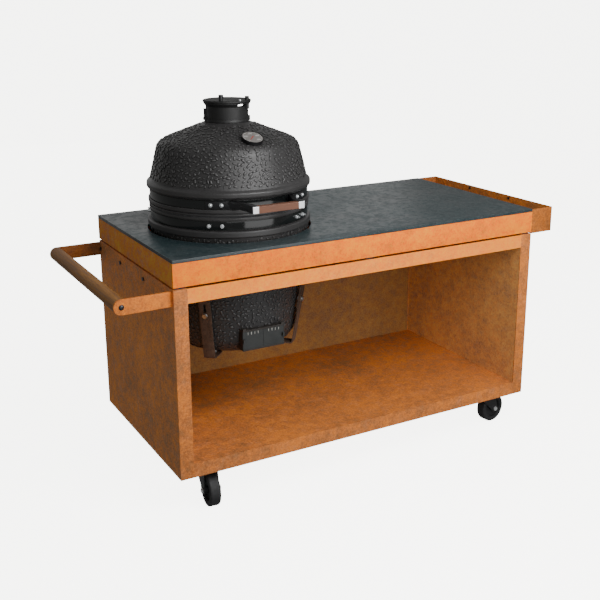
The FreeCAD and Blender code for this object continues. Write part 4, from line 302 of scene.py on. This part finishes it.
FIRE_CLAY = fire_clay()
print("ceramic finishes:", GLAZE.name, "and", FIRE_CLAY.name)

# %% [markdown]
# ## Metals and the rest
# One recipe makes every painted or bare metal: a tone, a shine, and how strongly a fine noise moves
# them. Brushed pieces get a noise that is long one way, so its scratches run along the brushing.


# %% Metal recipe
def metal(name, tone, shine, metallic=0.0, grain=(600.0, 600.0, 600.0), spread=0.25, depth=0.12, coat=0.0):
    finish = Finish(name, Metallic=metallic, Coat_Weight=coat, Coat_Roughness=0.06)
    marks = finish.noise(1.0, 4.0, 0.6, place=finish.stretched(*grain))
    smears = finish.noise(22.0, 4.0, 0.6)
    low = tuple(channel * (1 - spread) for channel in tone)
    high = tuple(min(1.0, channel * (1 + spread)) for channel in tone)
    finish.set("Base_Color", finish.ramp(finish.mix(0.4, marks, smears), (0.3, low), (0.7, high)))
    finish.set("Roughness", finish.ramp(smears, (0.3, shine), (0.7, min(1.0, shine * 1.45 + 0.02))))
    finish.bump(marks, depth, 0.2 * MM)
    return finish.material


FINE = (900.0, 900.0, 900.0)
BAND_BLACK = metal("Gloss black band", (0.006, 0.007, 0.007), 0.10, grain=(300.0, 300.0, 300.0), depth=0.02)
CAST_BLACK = metal("Enamelled cast iron", (0.005, 0.005, 0.005), 0.46, grain=(450.0, 450.0, 450.0), depth=0.3)
COAT_BLACK = metal("Black powder coat", (0.006, 0.006, 0.007), 0.24, grain=FINE, depth=0.15)
ZINC = metal("Bright zinc", (0.72, 0.74, 0.75), 0.22, 0.75, FINE)
STAINLESS = metal("Stainless rod", (0.56, 0.56, 0.56), 0.24, 1.0, (300.0, 60.0, 300.0))
CAP_STEEL = metal("Brushed cap steel", (0.72, 0.72, 0.73), 0.28, 1.0, (700.0, 700.0, 40.0), depth=0.3)
SPRING_STEEL = metal("Oiled spring steel", (0.20, 0.20, 0.21), 0.32, 1.0, FINE)
COPPER = metal("Brown copper", (0.145, 0.058, 0.031), 0.42, 0.2, (30.0, 900.0, 900.0), 0.3, 0.25)
DIAL_GREY = metal("Grey dial enamel", (0.150, 0.140, 0.132), 0.34, grain=FINE, depth=0.03)
DIAL_WHITE = metal("White dial print", (0.62, 0.61, 0.59), 0.5, grain=FINE, depth=0.02)
SMOKED_STEEL = metal("Smoked housing steel", (0.020, 0.016, 0.013), 0.5, grain=FINE, depth=0.2)
CASTER_BLACK = metal("Caster steel", (0.012, 0.012, 0.013), 0.34, grain=FINE, depth=0.15)
BOLT_BLACK = metal("Blackened bolt", (0.05, 0.053, 0.058), 0.28, 0.8, FINE)
RUBBER = metal("Tyre rubber", (0.013, 0.013, 0.014), 0.55, grain=(250.0, 250.0, 250.0), depth=0.3)
PAD_RUBBER = metal("Pad rubber", (0.022, 0.026, 0.032), 0.6, grain=FINE, depth=0.2)
NEEDLE_RED = metal("Needle lacquer", (0.30, 0.02, 0.015), 0.3, grain=FINE, depth=0.02)
print("metal finishes:", len([m for m in bpy.data.materials if m.users == 0]), "made so far")

# %% [markdown]
# The draught doors are grey steel with short marks cut into the face to read the opening by. The marks
# hold pale paint: it lies where the face looks forward and is exactly as deep as the marks. A narrow
# dark line runs down the edges where the two doors meet.


# %% Door finish
SEAM = 1.0 * MM


def door_steel(front, depth):
    steel = Finish("Grey door steel", Specular_IOR_Level=0.45)
    smears = steel.noise(24.0, 5.0, 0.65)
    grit = steel.noise(900.0, 3.0, 0.6)
    cloudy = steel.mix(0.3, smears, grit)
    grey = steel.ramp(cloudy, (0.3, (0.016, 0.018, 0.018)), (0.7, (0.028, 0.030, 0.029)))
    forward = steel.math("GREATER_THAN", steel.looks_along((0, -1, 0)), 0.9)
    off = steel.math("ABSOLUTE", steel.math("SUBTRACT", steel.along("Y"), front + depth), 0.0)
    cut = steel.math("MULTIPLY", forward, steel.math("LESS_THAN", off, depth / 2))
    beside = steel.math("ABSOLUTE", steel.math("SUBTRACT", steel.along("X"), AXIS.x), 0.0)
    grey = steel.mix(steel.math("LESS_THAN", beside, SEAM), grey, (0.004, 0.004, 0.004))
    steel.set("Base_Color", steel.mix(cut, grey, (0.36, 0.35, 0.32)))
    steel.set("Roughness", steel.ramp(smears, (0.3, 0.34), (0.7, 0.50)))
    steel.bump(grit, 0.2, 0.2 * MM)
    return steel.material


# The front is the plane with the most forward-looking area.
planes = {}
for face in nodes["draught_door_left"].data.polygons:
    if face.normal.y < -0.99:
        planes[round(face.center.y, 5)] = planes.get(round(face.center.y, 5), 0) + face.area
door_front = max(planes, key=planes.get)
MARK_DEPTH = 0.6 * MM
DOOR_GREY = door_steel(door_front, MARK_DEPTH)
print("door face at", door_front, "marks", MARK_DEPTH, "deep")

# %% [markdown]
# The bar of the push handle is oiled wood. Its grain runs along the bar, so the noise is squeezed
# across it and stretched along it, and a slower noise bends the rings. Felt is a fine, dull fuzz.


# %% Wood and felt
def oiled_wood():
    wood = Finish("Oiled bar wood", Specular_IOR_Level=0.22)
    bend = wood.noise(3.0, 2.0, 0.5)
    rings = wood.noise(1.0, 6.0, 0.62, 1.2, wood.stretched(75.0, 3.0, 75.0))
    pores = wood.noise(1.0, 3.0, 0.7, place=wood.stretched(900.0, 25.0, 900.0))
    colour = wood.ramp(wood.mix(0.35, rings, bend), (0.34, (0.135, 0.054, 0.012)),
                       (0.50, (0.28, 0.122, 0.026)), (0.66, (0.40, 0.185, 0.046)))
    dark_pores = wood.ramp(pores, (0.30, 0.6), (0.45, 0.0))
    wood.set("Base_Color", wood.mix(dark_pores, colour, (0.075, 0.036, 0.015)))
    wood.set("Roughness", wood.ramp(rings, (0.3, 0.42), (0.7, 0.6)))
    wood.bump(wood.mix(0.5, rings, pores), 0.3, 0.35 * MM)
    return wood.material


def felt():
    cloth = Finish("Gasket felt", Roughness=0.95, Specular_IOR_Level=0.15, Sheen_Weight=0.3)
    fuzz = cloth.noise(1400.0, 4.0, 0.8)
    cloth.set("Base_Color", cloth.ramp(fuzz, (0.3, (0.015, 0.015, 0.016)), (0.7, (0.05, 0.05, 0.052))))
    cloth.bump(fuzz, 0.7, 0.5 * MM)
    return cloth.material


BAR_WOOD = oiled_wood()
FELT = felt()
print("wood and felt:", BAR_WOOD.name, FELT.name)

# %% [markdown]
# ## Dressing the construction
# Real sheet metal has no razor edges: each fold shows as a thin line of light. A copy of a node is
# welded, its flat faces are joined, doubled inner faces go, and a narrow bevel breaks the edges. Where
# two pieces meet flush, as stile and rail do, the joining side keeps its edge so that no groove shows.

# %% Weld and ease a copy
FLAT = math.radians(1.0)
SHARP = math.radians(35.0)
TOUCHING = 1e-6
ON_SIDE = 0.2 * MM
# An edge that is shorter than this many bevel widths keeps its corner.
SHORTEST_EDGE = 3


def welded(node):
    bm = bmesh.new()
    bm.from_mesh(nodes[node].data)
    bmesh.ops.remove_doubles(bm, verts=bm.verts, dist=TOUCHING)
    seen = {}
    for face in bm.faces:
        key = tuple(round(c, 5) for c in face.calc_center_median())
        seen.setdefault(key, []).append(face)
    doubled = [face for faces in seen.values() if len(faces) > 1 for face in faces]
    bmesh.ops.delete(bm, geom=doubled, context="FACES")
    bmesh.ops.dissolve_limit(bm, angle_limit=FLAT, verts=bm.verts, edges=bm.edges)
    return bm


def on_side(point, box, sides):
    low, high = box
    for side in sides:
        axis = "xyz".index(side[1])
        limit = (low if side[0] == "-" else high)[axis]
        if abs(point[axis] - limit) < ON_SIDE:
            return True
    return False


def eased(node, finish, width, flush=()):
    bm = welded(node)
    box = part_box(node)
    edges = []
    for edge in bm.edges:
        if len(edge.link_faces) != 2 or edge.calc_face_angle() < SHARP or not edge.is_convex:
            continue
        if edge.calc_length() < SHORTEST_EDGE * width:
            continue
        if flush and all(on_side(v.co, box, flush) for v in edge.verts):
            continue
        edges.append(edge)
    bmesh.ops.bevel(bm, geom=edges, offset=width, offset_type="OFFSET", segments=2, profile=0.7,
                    affect="EDGES", clamp_overlap=True)
    return finish_mesh(bm, node + "_skin", finish, node)


def finish_mesh(bm, name, finish, node=None, body=None, smooth=True):
    mesh = bpy.data.meshes.new(name)
    bm.to_mesh(mesh)
    bm.free()
    mesh.materials.append(finish)
    if smooth:
        mesh.shade_smooth()
        mesh.set_sharp_from_angle(angle=SHARP)
    piece = bpy.data.objects.new(name, mesh)
    bpy.context.scene.collection.objects.link(piece)
    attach(piece, body or frame_body(node))
    if node:
        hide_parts(node)
    return piece


def frame_body(node):
    return next(b for b, members in frame["record"]["behaviour"]["bodies"].items() if node in members)


def slot_of(node):
    return next(s["material_slot"] for s in frame["record"]["subparts"] if s["node"] == node)


# %% [markdown]
# Each sheet, slab and block is listed once, with its finish, how far its edges are broken, and which
# of its sides meet a neighbour flush.

# %% Sheets, slabs and blocks
EASED = [
    ("left_panel", CORTEN, 1.2, ("+x",)),
    ("right_panel", CORTEN, 1.2, ("-x",)),
    ("back_panel", CORTEN, 0.8, ("-x", "+x")),
    ("floor_tray", CORTEN, 0.9, ("-x", "+x")),
    ("top_rails", RAIL_STEEL, 0.9, ("-x", "+x")),
    ("apron_rails", APRON_STEEL, 1.4, ()),
    ("planter", PLANTER_STEEL, 1.2, ()),
    ("handle_arms", ARM_STEEL, 1.0, ()),
    ("worktop", SLATE, 1.2, ()),
    ("cradle_plate", COAT_BLACK, 0.6, ()),
    ("cradle_straps", STRAP_STEEL, 0.7, ()),
    ("cradle_hangers", STRAP_STEEL, 0.7, ()),
    ("draught_housing", SMOKED_STEEL, 0.8, ()),
    ("lid_handle_brackets", COAT_BLACK, 1.2, ()),
    ("hinge_base_bracket", COAT_BLACK, 0.8, ()),
    ("hinge_lid_bracket", COAT_BLACK, 0.8, ()),
    ("base_band", BAND_BLACK, 0.8, ()),
    ("lid_band", BAND_BLACK, 0.8, ()),
]
for node, finish, width, flush in EASED:
    piece = eased(node, finish, width * MM, flush)
    print(node, "eased by", width, "mm:", len(piece.data.polygons), "faces")

# %% [markdown]
# Turned and cast pieces already have their round edges in the construction. They keep their own mesh
# and take a finish.

# %% Finishes on the nodes that stay
PLAIN = {
    "lining_sheets": LINING_STEEL, "caster_rails": CORTEN, "spacer_pads": PAD_RUBBER,
    "slab_bearers": COAT_BLACK, "handle_bar": BAR_WOOD, "handle_backing_bar": COAT_BLACK,
    "table_bolts": BOLT_BLACK, "cradle_bolts": STAINLESS, "base_gasket": FELT, "lid_gasket": FELT,
    "base_band_bolts": ZINC, "lid_band_bolts": ZINC, "draught_screen": STAINLESS,
    "fire_bowl": FIRE_CLAY, "fire_ring": FIRE_CLAY, "charcoal_grate": CAST_BLACK,
    "cooking_grid": STAINLESS, "hinge_pin": STAINLESS, "hinge_springs": SPRING_STEEL,
    "caster_plates": CASTER_BLACK, "lid_handle_sleeve": COPPER,
    "lid_handle_caps": CAP_STEEL, "thermometer_body": COAT_BLACK, "vent_collar": CAST_BLACK,
    "vent_body": CAST_BLACK, "damper_disc": CAST_BLACK, "damper_knob": COAT_BLACK, "damper_screw": ZINC,
    "thermometer_needle": NEEDLE_RED, "draught_door_left": DOOR_GREY, "draught_door_right": DOOR_GREY,
    "base_shell": GLAZE, "dome_shell": GLAZE, "thermometer_dial": DIAL_GREY,
}
for name in nodes:
    if name.startswith("caster_fork"):
        PLAIN[name] = CASTER_BLACK
    if name.startswith("caster_wheel"):
        PLAIN[name] = RUBBER
for node, finish in PLAIN.items():
    slots = nodes[node].data.materials
    slots.clear()
    slots.append(finish)
print(len(PLAIN), "nodes keep their mesh")

# %% [markdown]
# ## The pebbled glaze
# Short bent ridges of glaze, about 15 mm long, cover the lid and the base between the smooth
# rims. They stand up from the surface, catch the light and give the kamado its skin. Geometry Nodes
# scatter them: points are spread over a lathed field so that no two come too close, and each gets one
# of four strokes, bent more or less, turned at random about the surface's normal.


# %% The scatter tree
def tree_with(name, *inputs):
    tree = bpy.data.node_groups.new(name, "GeometryNodeTree")
    tree.interface.new_socket("Geometry", in_out="INPUT", socket_type="NodeSocketGeometry")
    for label, kind in inputs:
        tree.interface.new_socket(label, in_out="INPUT", socket_type=kind)
    tree.interface.new_socket("Geometry", in_out="OUTPUT", socket_type="NodeSocketGeometry")
    return tree, tree.nodes.new("NodeGroupInput"), tree.nodes.new("NodeGroupOutput")


def joined(tree, kind, sockets=None, **settings):
    made = tree.nodes.new(kind)
    for name, value in settings.items():
        setattr(made, name, value)
    for socket, value in (sockets or {}).items():
        if isinstance(value, bpy.types.NodeSocket):
            tree.links.new(value, made.inputs[socket])
        else:
            made.inputs[socket].default_value = value
    return made


def reckon(tree, operation, *values):
    return joined(tree, "ShaderNodeMath", dict(enumerate(values)), operation=operation).outputs[0]


def vector(tree, *values):
    return joined(tree, "ShaderNodeCombineXYZ", dict(enumerate(values))).outputs[0]


def stroke(tree, given, bend_start, bend_end):
    # One ridge along X: a bent line swept by a low half circle that thins out at both ends.
    line = joined(tree, "GeometryNodeCurvePrimitiveBezierSegment", {
        "Resolution": 7, "Start": (-0.5, 0, 0), "Start Handle": (-0.2, bend_start, 0),
        "End Handle": (0.2, bend_end, 0), "End": (0.5, 0, 0)})
    longer = vector(tree, given["Length"], given["Length"], 1.0)
    line = joined(tree, "GeometryNodeTransform", {"Geometry": line.outputs[0], "Scale": longer})
    line = joined(tree, "GeometryNodeResampleCurve", {"Curve": line.outputs[0], "Count": 7})
    along = joined(tree, "GeometryNodeSplineParameter").outputs["Factor"]
    centred = reckon(tree, "SUBTRACT", along, 0.5)
    squared = reckon(tree, "MULTIPLY", centred, centred)
    taper = reckon(tree, "MULTIPLY_ADD", reckon(tree, "MULTIPLY", squared, squared), -14.0, 1.0)
    arch = joined(tree, "GeometryNodeCurveArc", {
        "Resolution": 6, "Radius": 0.5, "Start Angle": math.pi - 0.2, "Sweep Angle": math.pi + 0.4})
    swept = joined(tree, "GeometryNodeCurveToMesh", {
        "Curve": line.outputs[0], "Profile Curve": arch.outputs[0],
        "Scale": reckon(tree, "MULTIPLY", taper, given["Width"])})
    spot = joined(tree, "GeometryNodeInputPosition").outputs[0]
    up = joined(tree, "ShaderNodeSeparateXYZ", {0: spot}).outputs[2]
    rise = reckon(tree, "MULTIPLY", reckon(tree, "DIVIDE", up, given["Width"]), 2.0)
    marked = joined(tree, "GeometryNodeStoreNamedAttribute", {
        "Geometry": swept.outputs[0], "Name": "rise", "Value": rise}, data_type="FLOAT", domain="POINT")
    flat = vector(tree, 1.0, 1.0, given["Lift"])
    return joined(tree, "GeometryNodeTransform", {"Geometry": marked.outputs[0], "Scale": flat})


# How far each of the four strokes bends at its start and at its end.
BENDS = ((0.30, 0.30), (0.42, -0.42), (0.05, 0.55), (0.0, 0.08))
MOST_PER_M2 = 40000.0
SMALLEST, LARGEST, SIZE_SEED = 0.75, 1.15, 7


def pebble_tree():
    tree, given, result = tree_with(
        "Pebbles", ("Spacing", "NodeSocketFloat"), ("Length", "NodeSocketFloat"),
        ("Width", "NodeSocketFloat"), ("Lift", "NodeSocketFloat"), ("Seed", "NodeSocketInt"),
        ("Finish", "NodeSocketMaterial"))
    given = given.outputs
    points = joined(tree, "GeometryNodeDistributePointsOnFaces", {
        "Mesh": given["Geometry"], "Distance Min": given["Spacing"], "Density Max": MOST_PER_M2,
        "Seed": given["Seed"]}, distribute_method="POISSON")
    strokes = joined(tree, "GeometryNodeGeometryToInstance")
    for bends in BENDS:
        tree.links.new(stroke(tree, given, *bends).outputs[0], strokes.inputs[0])
    spin = joined(tree, "FunctionNodeRandomValue", {3: 2 * math.pi, "Seed": given["Seed"]}).outputs[1]
    about = vector(tree, 0.0, 0.0, spin)
    turned = joined(tree, "FunctionNodeRotateRotation", {0: points.outputs["Rotation"], 1: about},
                    rotation_space="LOCAL")
    size = joined(tree, "FunctionNodeRandomValue", {2: SMALLEST, 3: LARGEST, "Seed": SIZE_SEED}).outputs[1]
    placed = joined(tree, "GeometryNodeInstanceOnPoints", {
        "Points": points.outputs["Points"], "Instance": strokes.outputs[0], "Pick Instance": True,
        "Rotation": turned.outputs[0]})
    grown = joined(tree, "GeometryNodeScaleInstances", {0: placed.outputs[0], "Scale": size})
    real = joined(tree, "GeometryNodeRealizeInstances", {0: grown.outputs[0]})
    smooth = joined(tree, "GeometryNodeSetShadeSmooth", {0: real.outputs[0]})
    painted = joined(tree, "GeometryNodeSetMaterial", {0: smooth.outputs[0], "Material": given["Finish"]})
    tree.links.new(painted.outputs[0], result.inputs[0])
    return tree


PEBBLES = pebble_tree()
print("scatter tree with", len(PEBBLES.nodes), "nodes")

# %% [markdown]
# The field is a lathed strip that follows the ceramic's outline. It is only the ground the points are
# spread on, so it is thrown away once the strokes are real geometry.


# %% Lathe a field and scatter on it
def lathe(outline, steps=128):
    # A surface of revolution about the kamado's axis through (radius, height above the worktop).
    bm = bmesh.new()
    rings = []
    for radius, height in outline:
        ring = []
        for k in range(steps):
            angle = 2 * math.pi * k / steps
            place = Vector((radius * math.sin(angle), -radius * math.cos(angle), WORKTOP + height))
            ring.append(bm.verts.new(AXIS + place))
        rings.append(ring)
    for low, high in zip(rings, rings[1:]):
        for k in range(steps):
            bm.faces.new((low[k], low[(k + 1) % steps], high[(k + 1) % steps], high[k]))
    return bm


def set_input(modifier, label, value):
    for item in modifier.node_group.interface.items_tree:
        if item.item_type == "SOCKET" and item.in_out == "INPUT" and item.name == label:
            modifier[item.identifier] = value


def grown_on(bm, tree, name, body, slot, place=Matrix(), **inputs):
    mesh = bpy.data.meshes.new(name + "_field")
    bm.to_mesh(mesh)
    bm.free()
    field = bpy.data.objects.new(name + "_field", mesh)
    bpy.context.scene.collection.objects.link(field)
    modifier = field.modifiers.new("grow", "NODES")
    modifier.node_group = tree
    for label, value in inputs.items():
        set_input(modifier, label, value)
    bpy.context.view_layer.update()
    graph = bpy.context.evaluated_depsgraph_get()
    result = bpy.data.meshes.new_from_object(field.evaluated_get(graph), depsgraph=graph)
    bpy.data.objects.remove(field)
    result.transform(place)
    piece = bpy.data.objects.new(name, result)
    bpy.context.scene.collection.objects.link(piece)
    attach(piece, body)
    print(name, "has", sum(len(p.vertices) - 2 for p in result.polygons), "triangles")
    return piece


def outline_of(node, low, high, steps=40):
    # Radii of a shell's outside at even heights above the worktop, found by looking in from the right.
    found = []
    for k in range(steps + 1):
        height = low + (high - low) * k / steps
        start = AXIS + Vector((2 * RIM, 0, WORKTOP + height))
        hit, spot = nodes[node].ray_cast(start, Vector((-1, 0, 0)))[:2]
        if hit:
            found.append((spot.x - AXIS.x, height))
    return found


# The fields' lower and upper ends, as heights above the worktop.
DOME_FIELD = (180.5 * MM, 354 * MM)
BASE_FIELD = (-396 * MM, 8 * MM)
# Each field: its piece, body, outline and seed.
FIELDS = (("dome_pebbles", "lid", outline_of("dome_shell", *DOME_FIELD), 3),
          ("base_pebbles", "table", outline_of("base_shell", *BASE_FIELD), 5))
PEBBLE = {"Spacing": 13.0 * MM, "Length": 14.5 * MM, "Width": 8.0 * MM, "Lift": 0.6,
          "Finish": PEBBLE_GLAZE}
for name, body, field, seed in FIELDS:
    grown_on(lathe(field), PEBBLES, name, body, "glazed_ceramic", Seed=seed, **PEBBLE)

# %% [markdown]
# ## The thermometer's dial
# The dial has a plain scale from 0 to 400 that runs three quarters of the way round, starting where
# the needle rests. One tree sets equal marks on an arc: it is used for the fine marks and again for
# the long ones. The numbers are text that is turned into a mesh before it takes its place.


# %% Marks on an arc
def marks_tree():
    tree, given, result = tree_with(
        "Marks on an arc", ("Count", "NodeSocketInt"), ("Radius", "NodeSocketFloat"),
        ("Length", "NodeSocketFloat"), ("Width", "NodeSocketFloat"), ("Thickness", "NodeSocketFloat"),
        ("Start", "NodeSocketFloat"), ("Sweep", "NodeSocketFloat"), ("Finish", "NodeSocketMaterial"))
    given = given.outputs
    gaps = reckon(tree, "SUBTRACT", given["Count"], 1.0)
    share = reckon(tree, "DIVIDE", joined(tree, "GeometryNodeInputIndex").outputs[0], gaps)
    angle = reckon(tree, "MULTIPLY_ADD", share, given["Sweep"], given["Start"])
    x = reckon(tree, "MULTIPLY", reckon(tree, "COSINE", angle), given["Radius"])
    y = reckon(tree, "MULTIPLY", reckon(tree, "SINE", angle), given["Radius"])
    where = vector(tree, x, y)
    turn = vector(tree, 0.0, 0.0, angle)
    points = joined(tree, "GeometryNodePoints", {"Count": given["Count"], "Position": where})
    size = vector(tree, given["Length"], given["Width"], given["Thickness"])
    mark = joined(tree, "GeometryNodeMeshCube", {"Size": size})
    placed = joined(tree, "GeometryNodeInstanceOnPoints", {
        "Points": points.outputs[0], "Instance": mark.outputs["Mesh"], "Rotation": turn})
    real = joined(tree, "GeometryNodeRealizeInstances", {0: placed.outputs[0]})
    painted = joined(tree, "GeometryNodeSetMaterial", {0: real.outputs[0], "Material": given["Finish"]})
    tree.links.new(painted.outputs[0], result.inputs[0])
    return tree


# %% Scale and numbers
needle = next(joint for joint in frame["joints"] if joint["name"] == "thermometer_turn")
out = Vector(needle["axis"])
pivot = Vector(needle["pos_m"])
dial_top = max(out.dot(v.co) for v in nodes["thermometer_dial"].data.vertices)
PRINT = 0.1 * MM
centre = pivot + out * (dial_top + PRINT / 2 - out.dot(pivot))
across = Vector((1, 0, 0))
DIAL = Matrix.Translation(centre) @ Matrix((across, out.cross(across), out)).transposed().to_4x4()
START, SWEEP = math.radians(225), math.radians(-270)
MARKS = marks_tree()
dial_slot = slot_of("thermometer_dial")
# Each row of marks: its piece, how many, the radius of their middles, their length and their width.
ROWS = (("dial_fine_marks", 41, 31.6, 3.0, 0.5), ("dial_marks", 9, 30.6, 5.0, 1.0))
for name, count, radius, length, width in ROWS:
    grown_on(bmesh.new(), MARKS, name, "lid", dial_slot, DIAL, Count=count, Radius=radius * MM,
             Length=length * MM, Width=width * MM, Thickness=PRINT, Start=START, Sweep=SWEEP,
             Finish=DIAL_WHITE)
NUMBERS = [str(100 * k) for k in range(5)]
NUMBER_HEIGHT, NUMBER_RADIUS = 8.5 * MM, 22 * MM
numbers = bmesh.new()
for k, number in enumerate(NUMBERS):
    curve = bpy.data.curves.new("number", "FONT")
    curve.body = number
    curve.size = NUMBER_HEIGHT
    curve.align_x, curve.align_y = "CENTER", "CENTER"
    curve.extrude = PRINT / 2
    written = bpy.data.objects.new("number", curve)
    bpy.context.scene.collection.objects.link(written)
    bpy.context.view_layer.update()
    graph = bpy.context.evaluated_depsgraph_get()
    mesh = bpy.data.meshes.new_from_object(written.evaluated_get(graph), depsgraph=graph)
    bpy.data.objects.remove(written)
    angle = START + SWEEP * k / (len(NUMBERS) - 1)
    spot = (NUMBER_RADIUS * math.cos(angle), NUMBER_RADIUS * math.sin(angle), 0)
    mesh.transform(DIAL @ Matrix.Translation(spot))
    numbers.from_mesh(mesh)
    bpy.data.meshes.remove(mesh)
piece = finish_mesh(numbers, "dial_numbers", DIAL_WHITE, body="lid", smooth=False)
print("dial at", tuple(round(c, 4) for c in centre))

# %% [markdown]
# ## Axle nuts
# The forks are black, but each axle ends in a bright nut with the thread showing. Both ends of an axle
# are made from its spin joint, so they turn with the fork.


# %% Nuts on the axles
def upright(bm, out, foot, radius, height, sides):
    # A prism or cylinder that stands on foot and points along out, with its top edge broken.
    place = Matrix.Translation(foot) @ out.to_track_quat("Z", "Y").to_matrix().to_4x4()
    made = bmesh.ops.create_cone(bm, cap_ends=True, segments=sides, radius1=radius, radius2=radius,
                                 depth=height, matrix=place @ Matrix.Translation((0, 0, height / 2)))
    top = [e for e in {e for v in made["verts"] for e in v.link_edges}
           if all((v.co - foot).dot(out) > height * 0.9 for v in e.verts)]
    bmesh.ops.bevel(bm, geom=top, offset=radius * 0.12, segments=2, profile=0.5, affect="EDGES")


NUT_FOOT, NUT_RADIUS, NUT_HEIGHT = 28.6 * MM, 9.5 * MM, 5.1 * MM
THREAD_RADIUS, THREAD_HEIGHT = NUT_RADIUS / 2, NUT_HEIGHT + 1.6 * MM
for joint in frame["joints"]:
    if not joint["name"].startswith("spin_"):
        continue
    hub, along = Vector(joint["pos_m"]), Vector(joint["axis"])
    bm = bmesh.new()
    for side in (1, -1):
        outward = along * side
        upright(bm, outward, hub + outward * NUT_FOOT, NUT_RADIUS, NUT_HEIGHT, 6)
        upright(bm, outward, hub + outward * NUT_FOOT, THREAD_RADIUS, THREAD_HEIGHT, 24)
    piece = finish_mesh(bm, joint["name"].replace("spin", "axle_nuts"), ZINC, body=joint["parent"])

# %% [markdown]
# ## Camera and light
# The camera stands where the photograph was taken from: its place and turn were solved on the table's
# corners. A little shift puts the optical centre where it was. Four soft boxes stand before the table:
# the key draws the bright window on the bands, and the others fill the front, the left end and the
# top. A wide fifth one behind lights the back, and the room and the floor are pale.

# %% Camera
CAMERA = Vector((-1.6919, -2.9753, 1.656))
YAW, PITCH, ROLL = (math.radians(angle) for angle in (29.51, 15.55, -0.155))
LENS, SHIFT_X, SHIFT_Y = 56.78, -0.0093, -0.0684
ahead = Vector((math.sin(YAW) * math.cos(PITCH), math.cos(YAW) * math.cos(PITCH), -math.sin(PITCH)))
level = Vector((math.cos(YAW), -math.sin(YAW), 0))
right = level * math.cos(ROLL) + level.cross(ahead) * math.sin(ROLL)
up = right.cross(ahead)
camera = bpy.data.objects.new("camera", bpy.data.cameras.new("camera"))
bpy.context.scene.collection.objects.link(camera)
camera.matrix_world = Matrix.Translation(CAMERA) @ Matrix((right, up, -ahead)).transposed().to_4x4()
camera.data.lens = LENS
camera.data.shift_x = SHIFT_X
camera.data.shift_y = SHIFT_Y
bpy.context.scene.camera = camera


# %% Light
def soft_box(name, place, target, width, height, power):
    light = bpy.data.lights.new(name, "AREA")
    light.shape = "RECTANGLE"
    light.size, light.size_y = width, height
    light.energy = power
    box = bpy.data.objects.new(name, light)
    bpy.context.scene.collection.objects.link(box)
    box.location = place
    box.rotation_mode = "QUATERNION"
    box.rotation_quaternion = (Vector(target) - Vector(place)).to_track_quat("-Z", "Y")
    return box


soft_box("key", (0.3, -1.8, 2.1), (0.2, -0.4, 0.85), 1.2, 0.8, 31)
soft_box("front", (0.45, -2.5, 1.05), (0.0, 0.0, 0.95), 2.0, 2.1, 31)
soft_box("left", (-1.1, -3.0, 1.6), (0.3, 0, 0.5), 1.6, 1.6, 20)
soft_box("top", (0.4, -1.6, 3.4), (0, -0.2, 0.9), 2.4, 2.0, 36)
back = soft_box("back", (0.2, 4.5, 2.0), (0, 0, 0.9), 7.0, 3.2, 28)
back.visible_camera = False
ROOM_LIGHT, FLOOR_GLOW = 0.25, 5.8
world = bpy.data.worlds.new("studio")
world.use_nodes = True
world.node_tree.nodes["Background"].inputs["Color"].default_value = (0.90, 0.90, 0.88, 1)
world.node_tree.nodes["Background"].inputs["Strength"].default_value = ROOM_LIGHT
bpy.context.scene.world = world
floor_finish = Finish("Studio floor", Roughness=0.9, Emission_Color=(1.0, 1.0, 0.96),
                      Emission_Strength=FLOOR_GLOW)
floor_finish.set("Base_Color", floor_finish.ramp(floor_finish.noise(0.6), (0.3, 0.83), (0.7, 0.84)))
# The floor runs back and turns up into a wall, so that no horizon shows behind the table.
REACH, TURN_AT, TURN, WALL_TOP = 60, 3, 4, 30
sweep = bmesh.new()
profile = [(-REACH, 0), (TURN_AT, 0)]
for angle in range(6, 91, 6):
    profile.append((TURN_AT + TURN * math.sin(math.radians(angle)),
                    TURN - TURN * math.cos(math.radians(angle))))
profile.append((TURN_AT + TURN, WALL_TOP))
rows = [[sweep.verts.new((x, y, z)) for x in (-REACH, REACH)] for y, z in profile]
for low, high in zip(rows, rows[1:]):
    sweep.faces.new((low[0], low[1], high[1], high[0]))
mesh = bpy.data.meshes.new("floor")
sweep.to_mesh(mesh)
mesh.shade_smooth()
mesh.materials.append(floor_finish.material)
floor = bpy.data.objects.new("floor", mesh)
bpy.context.scene.collection.objects.link(floor)
floor.visible_diffuse = False
floor.visible_glossy = False
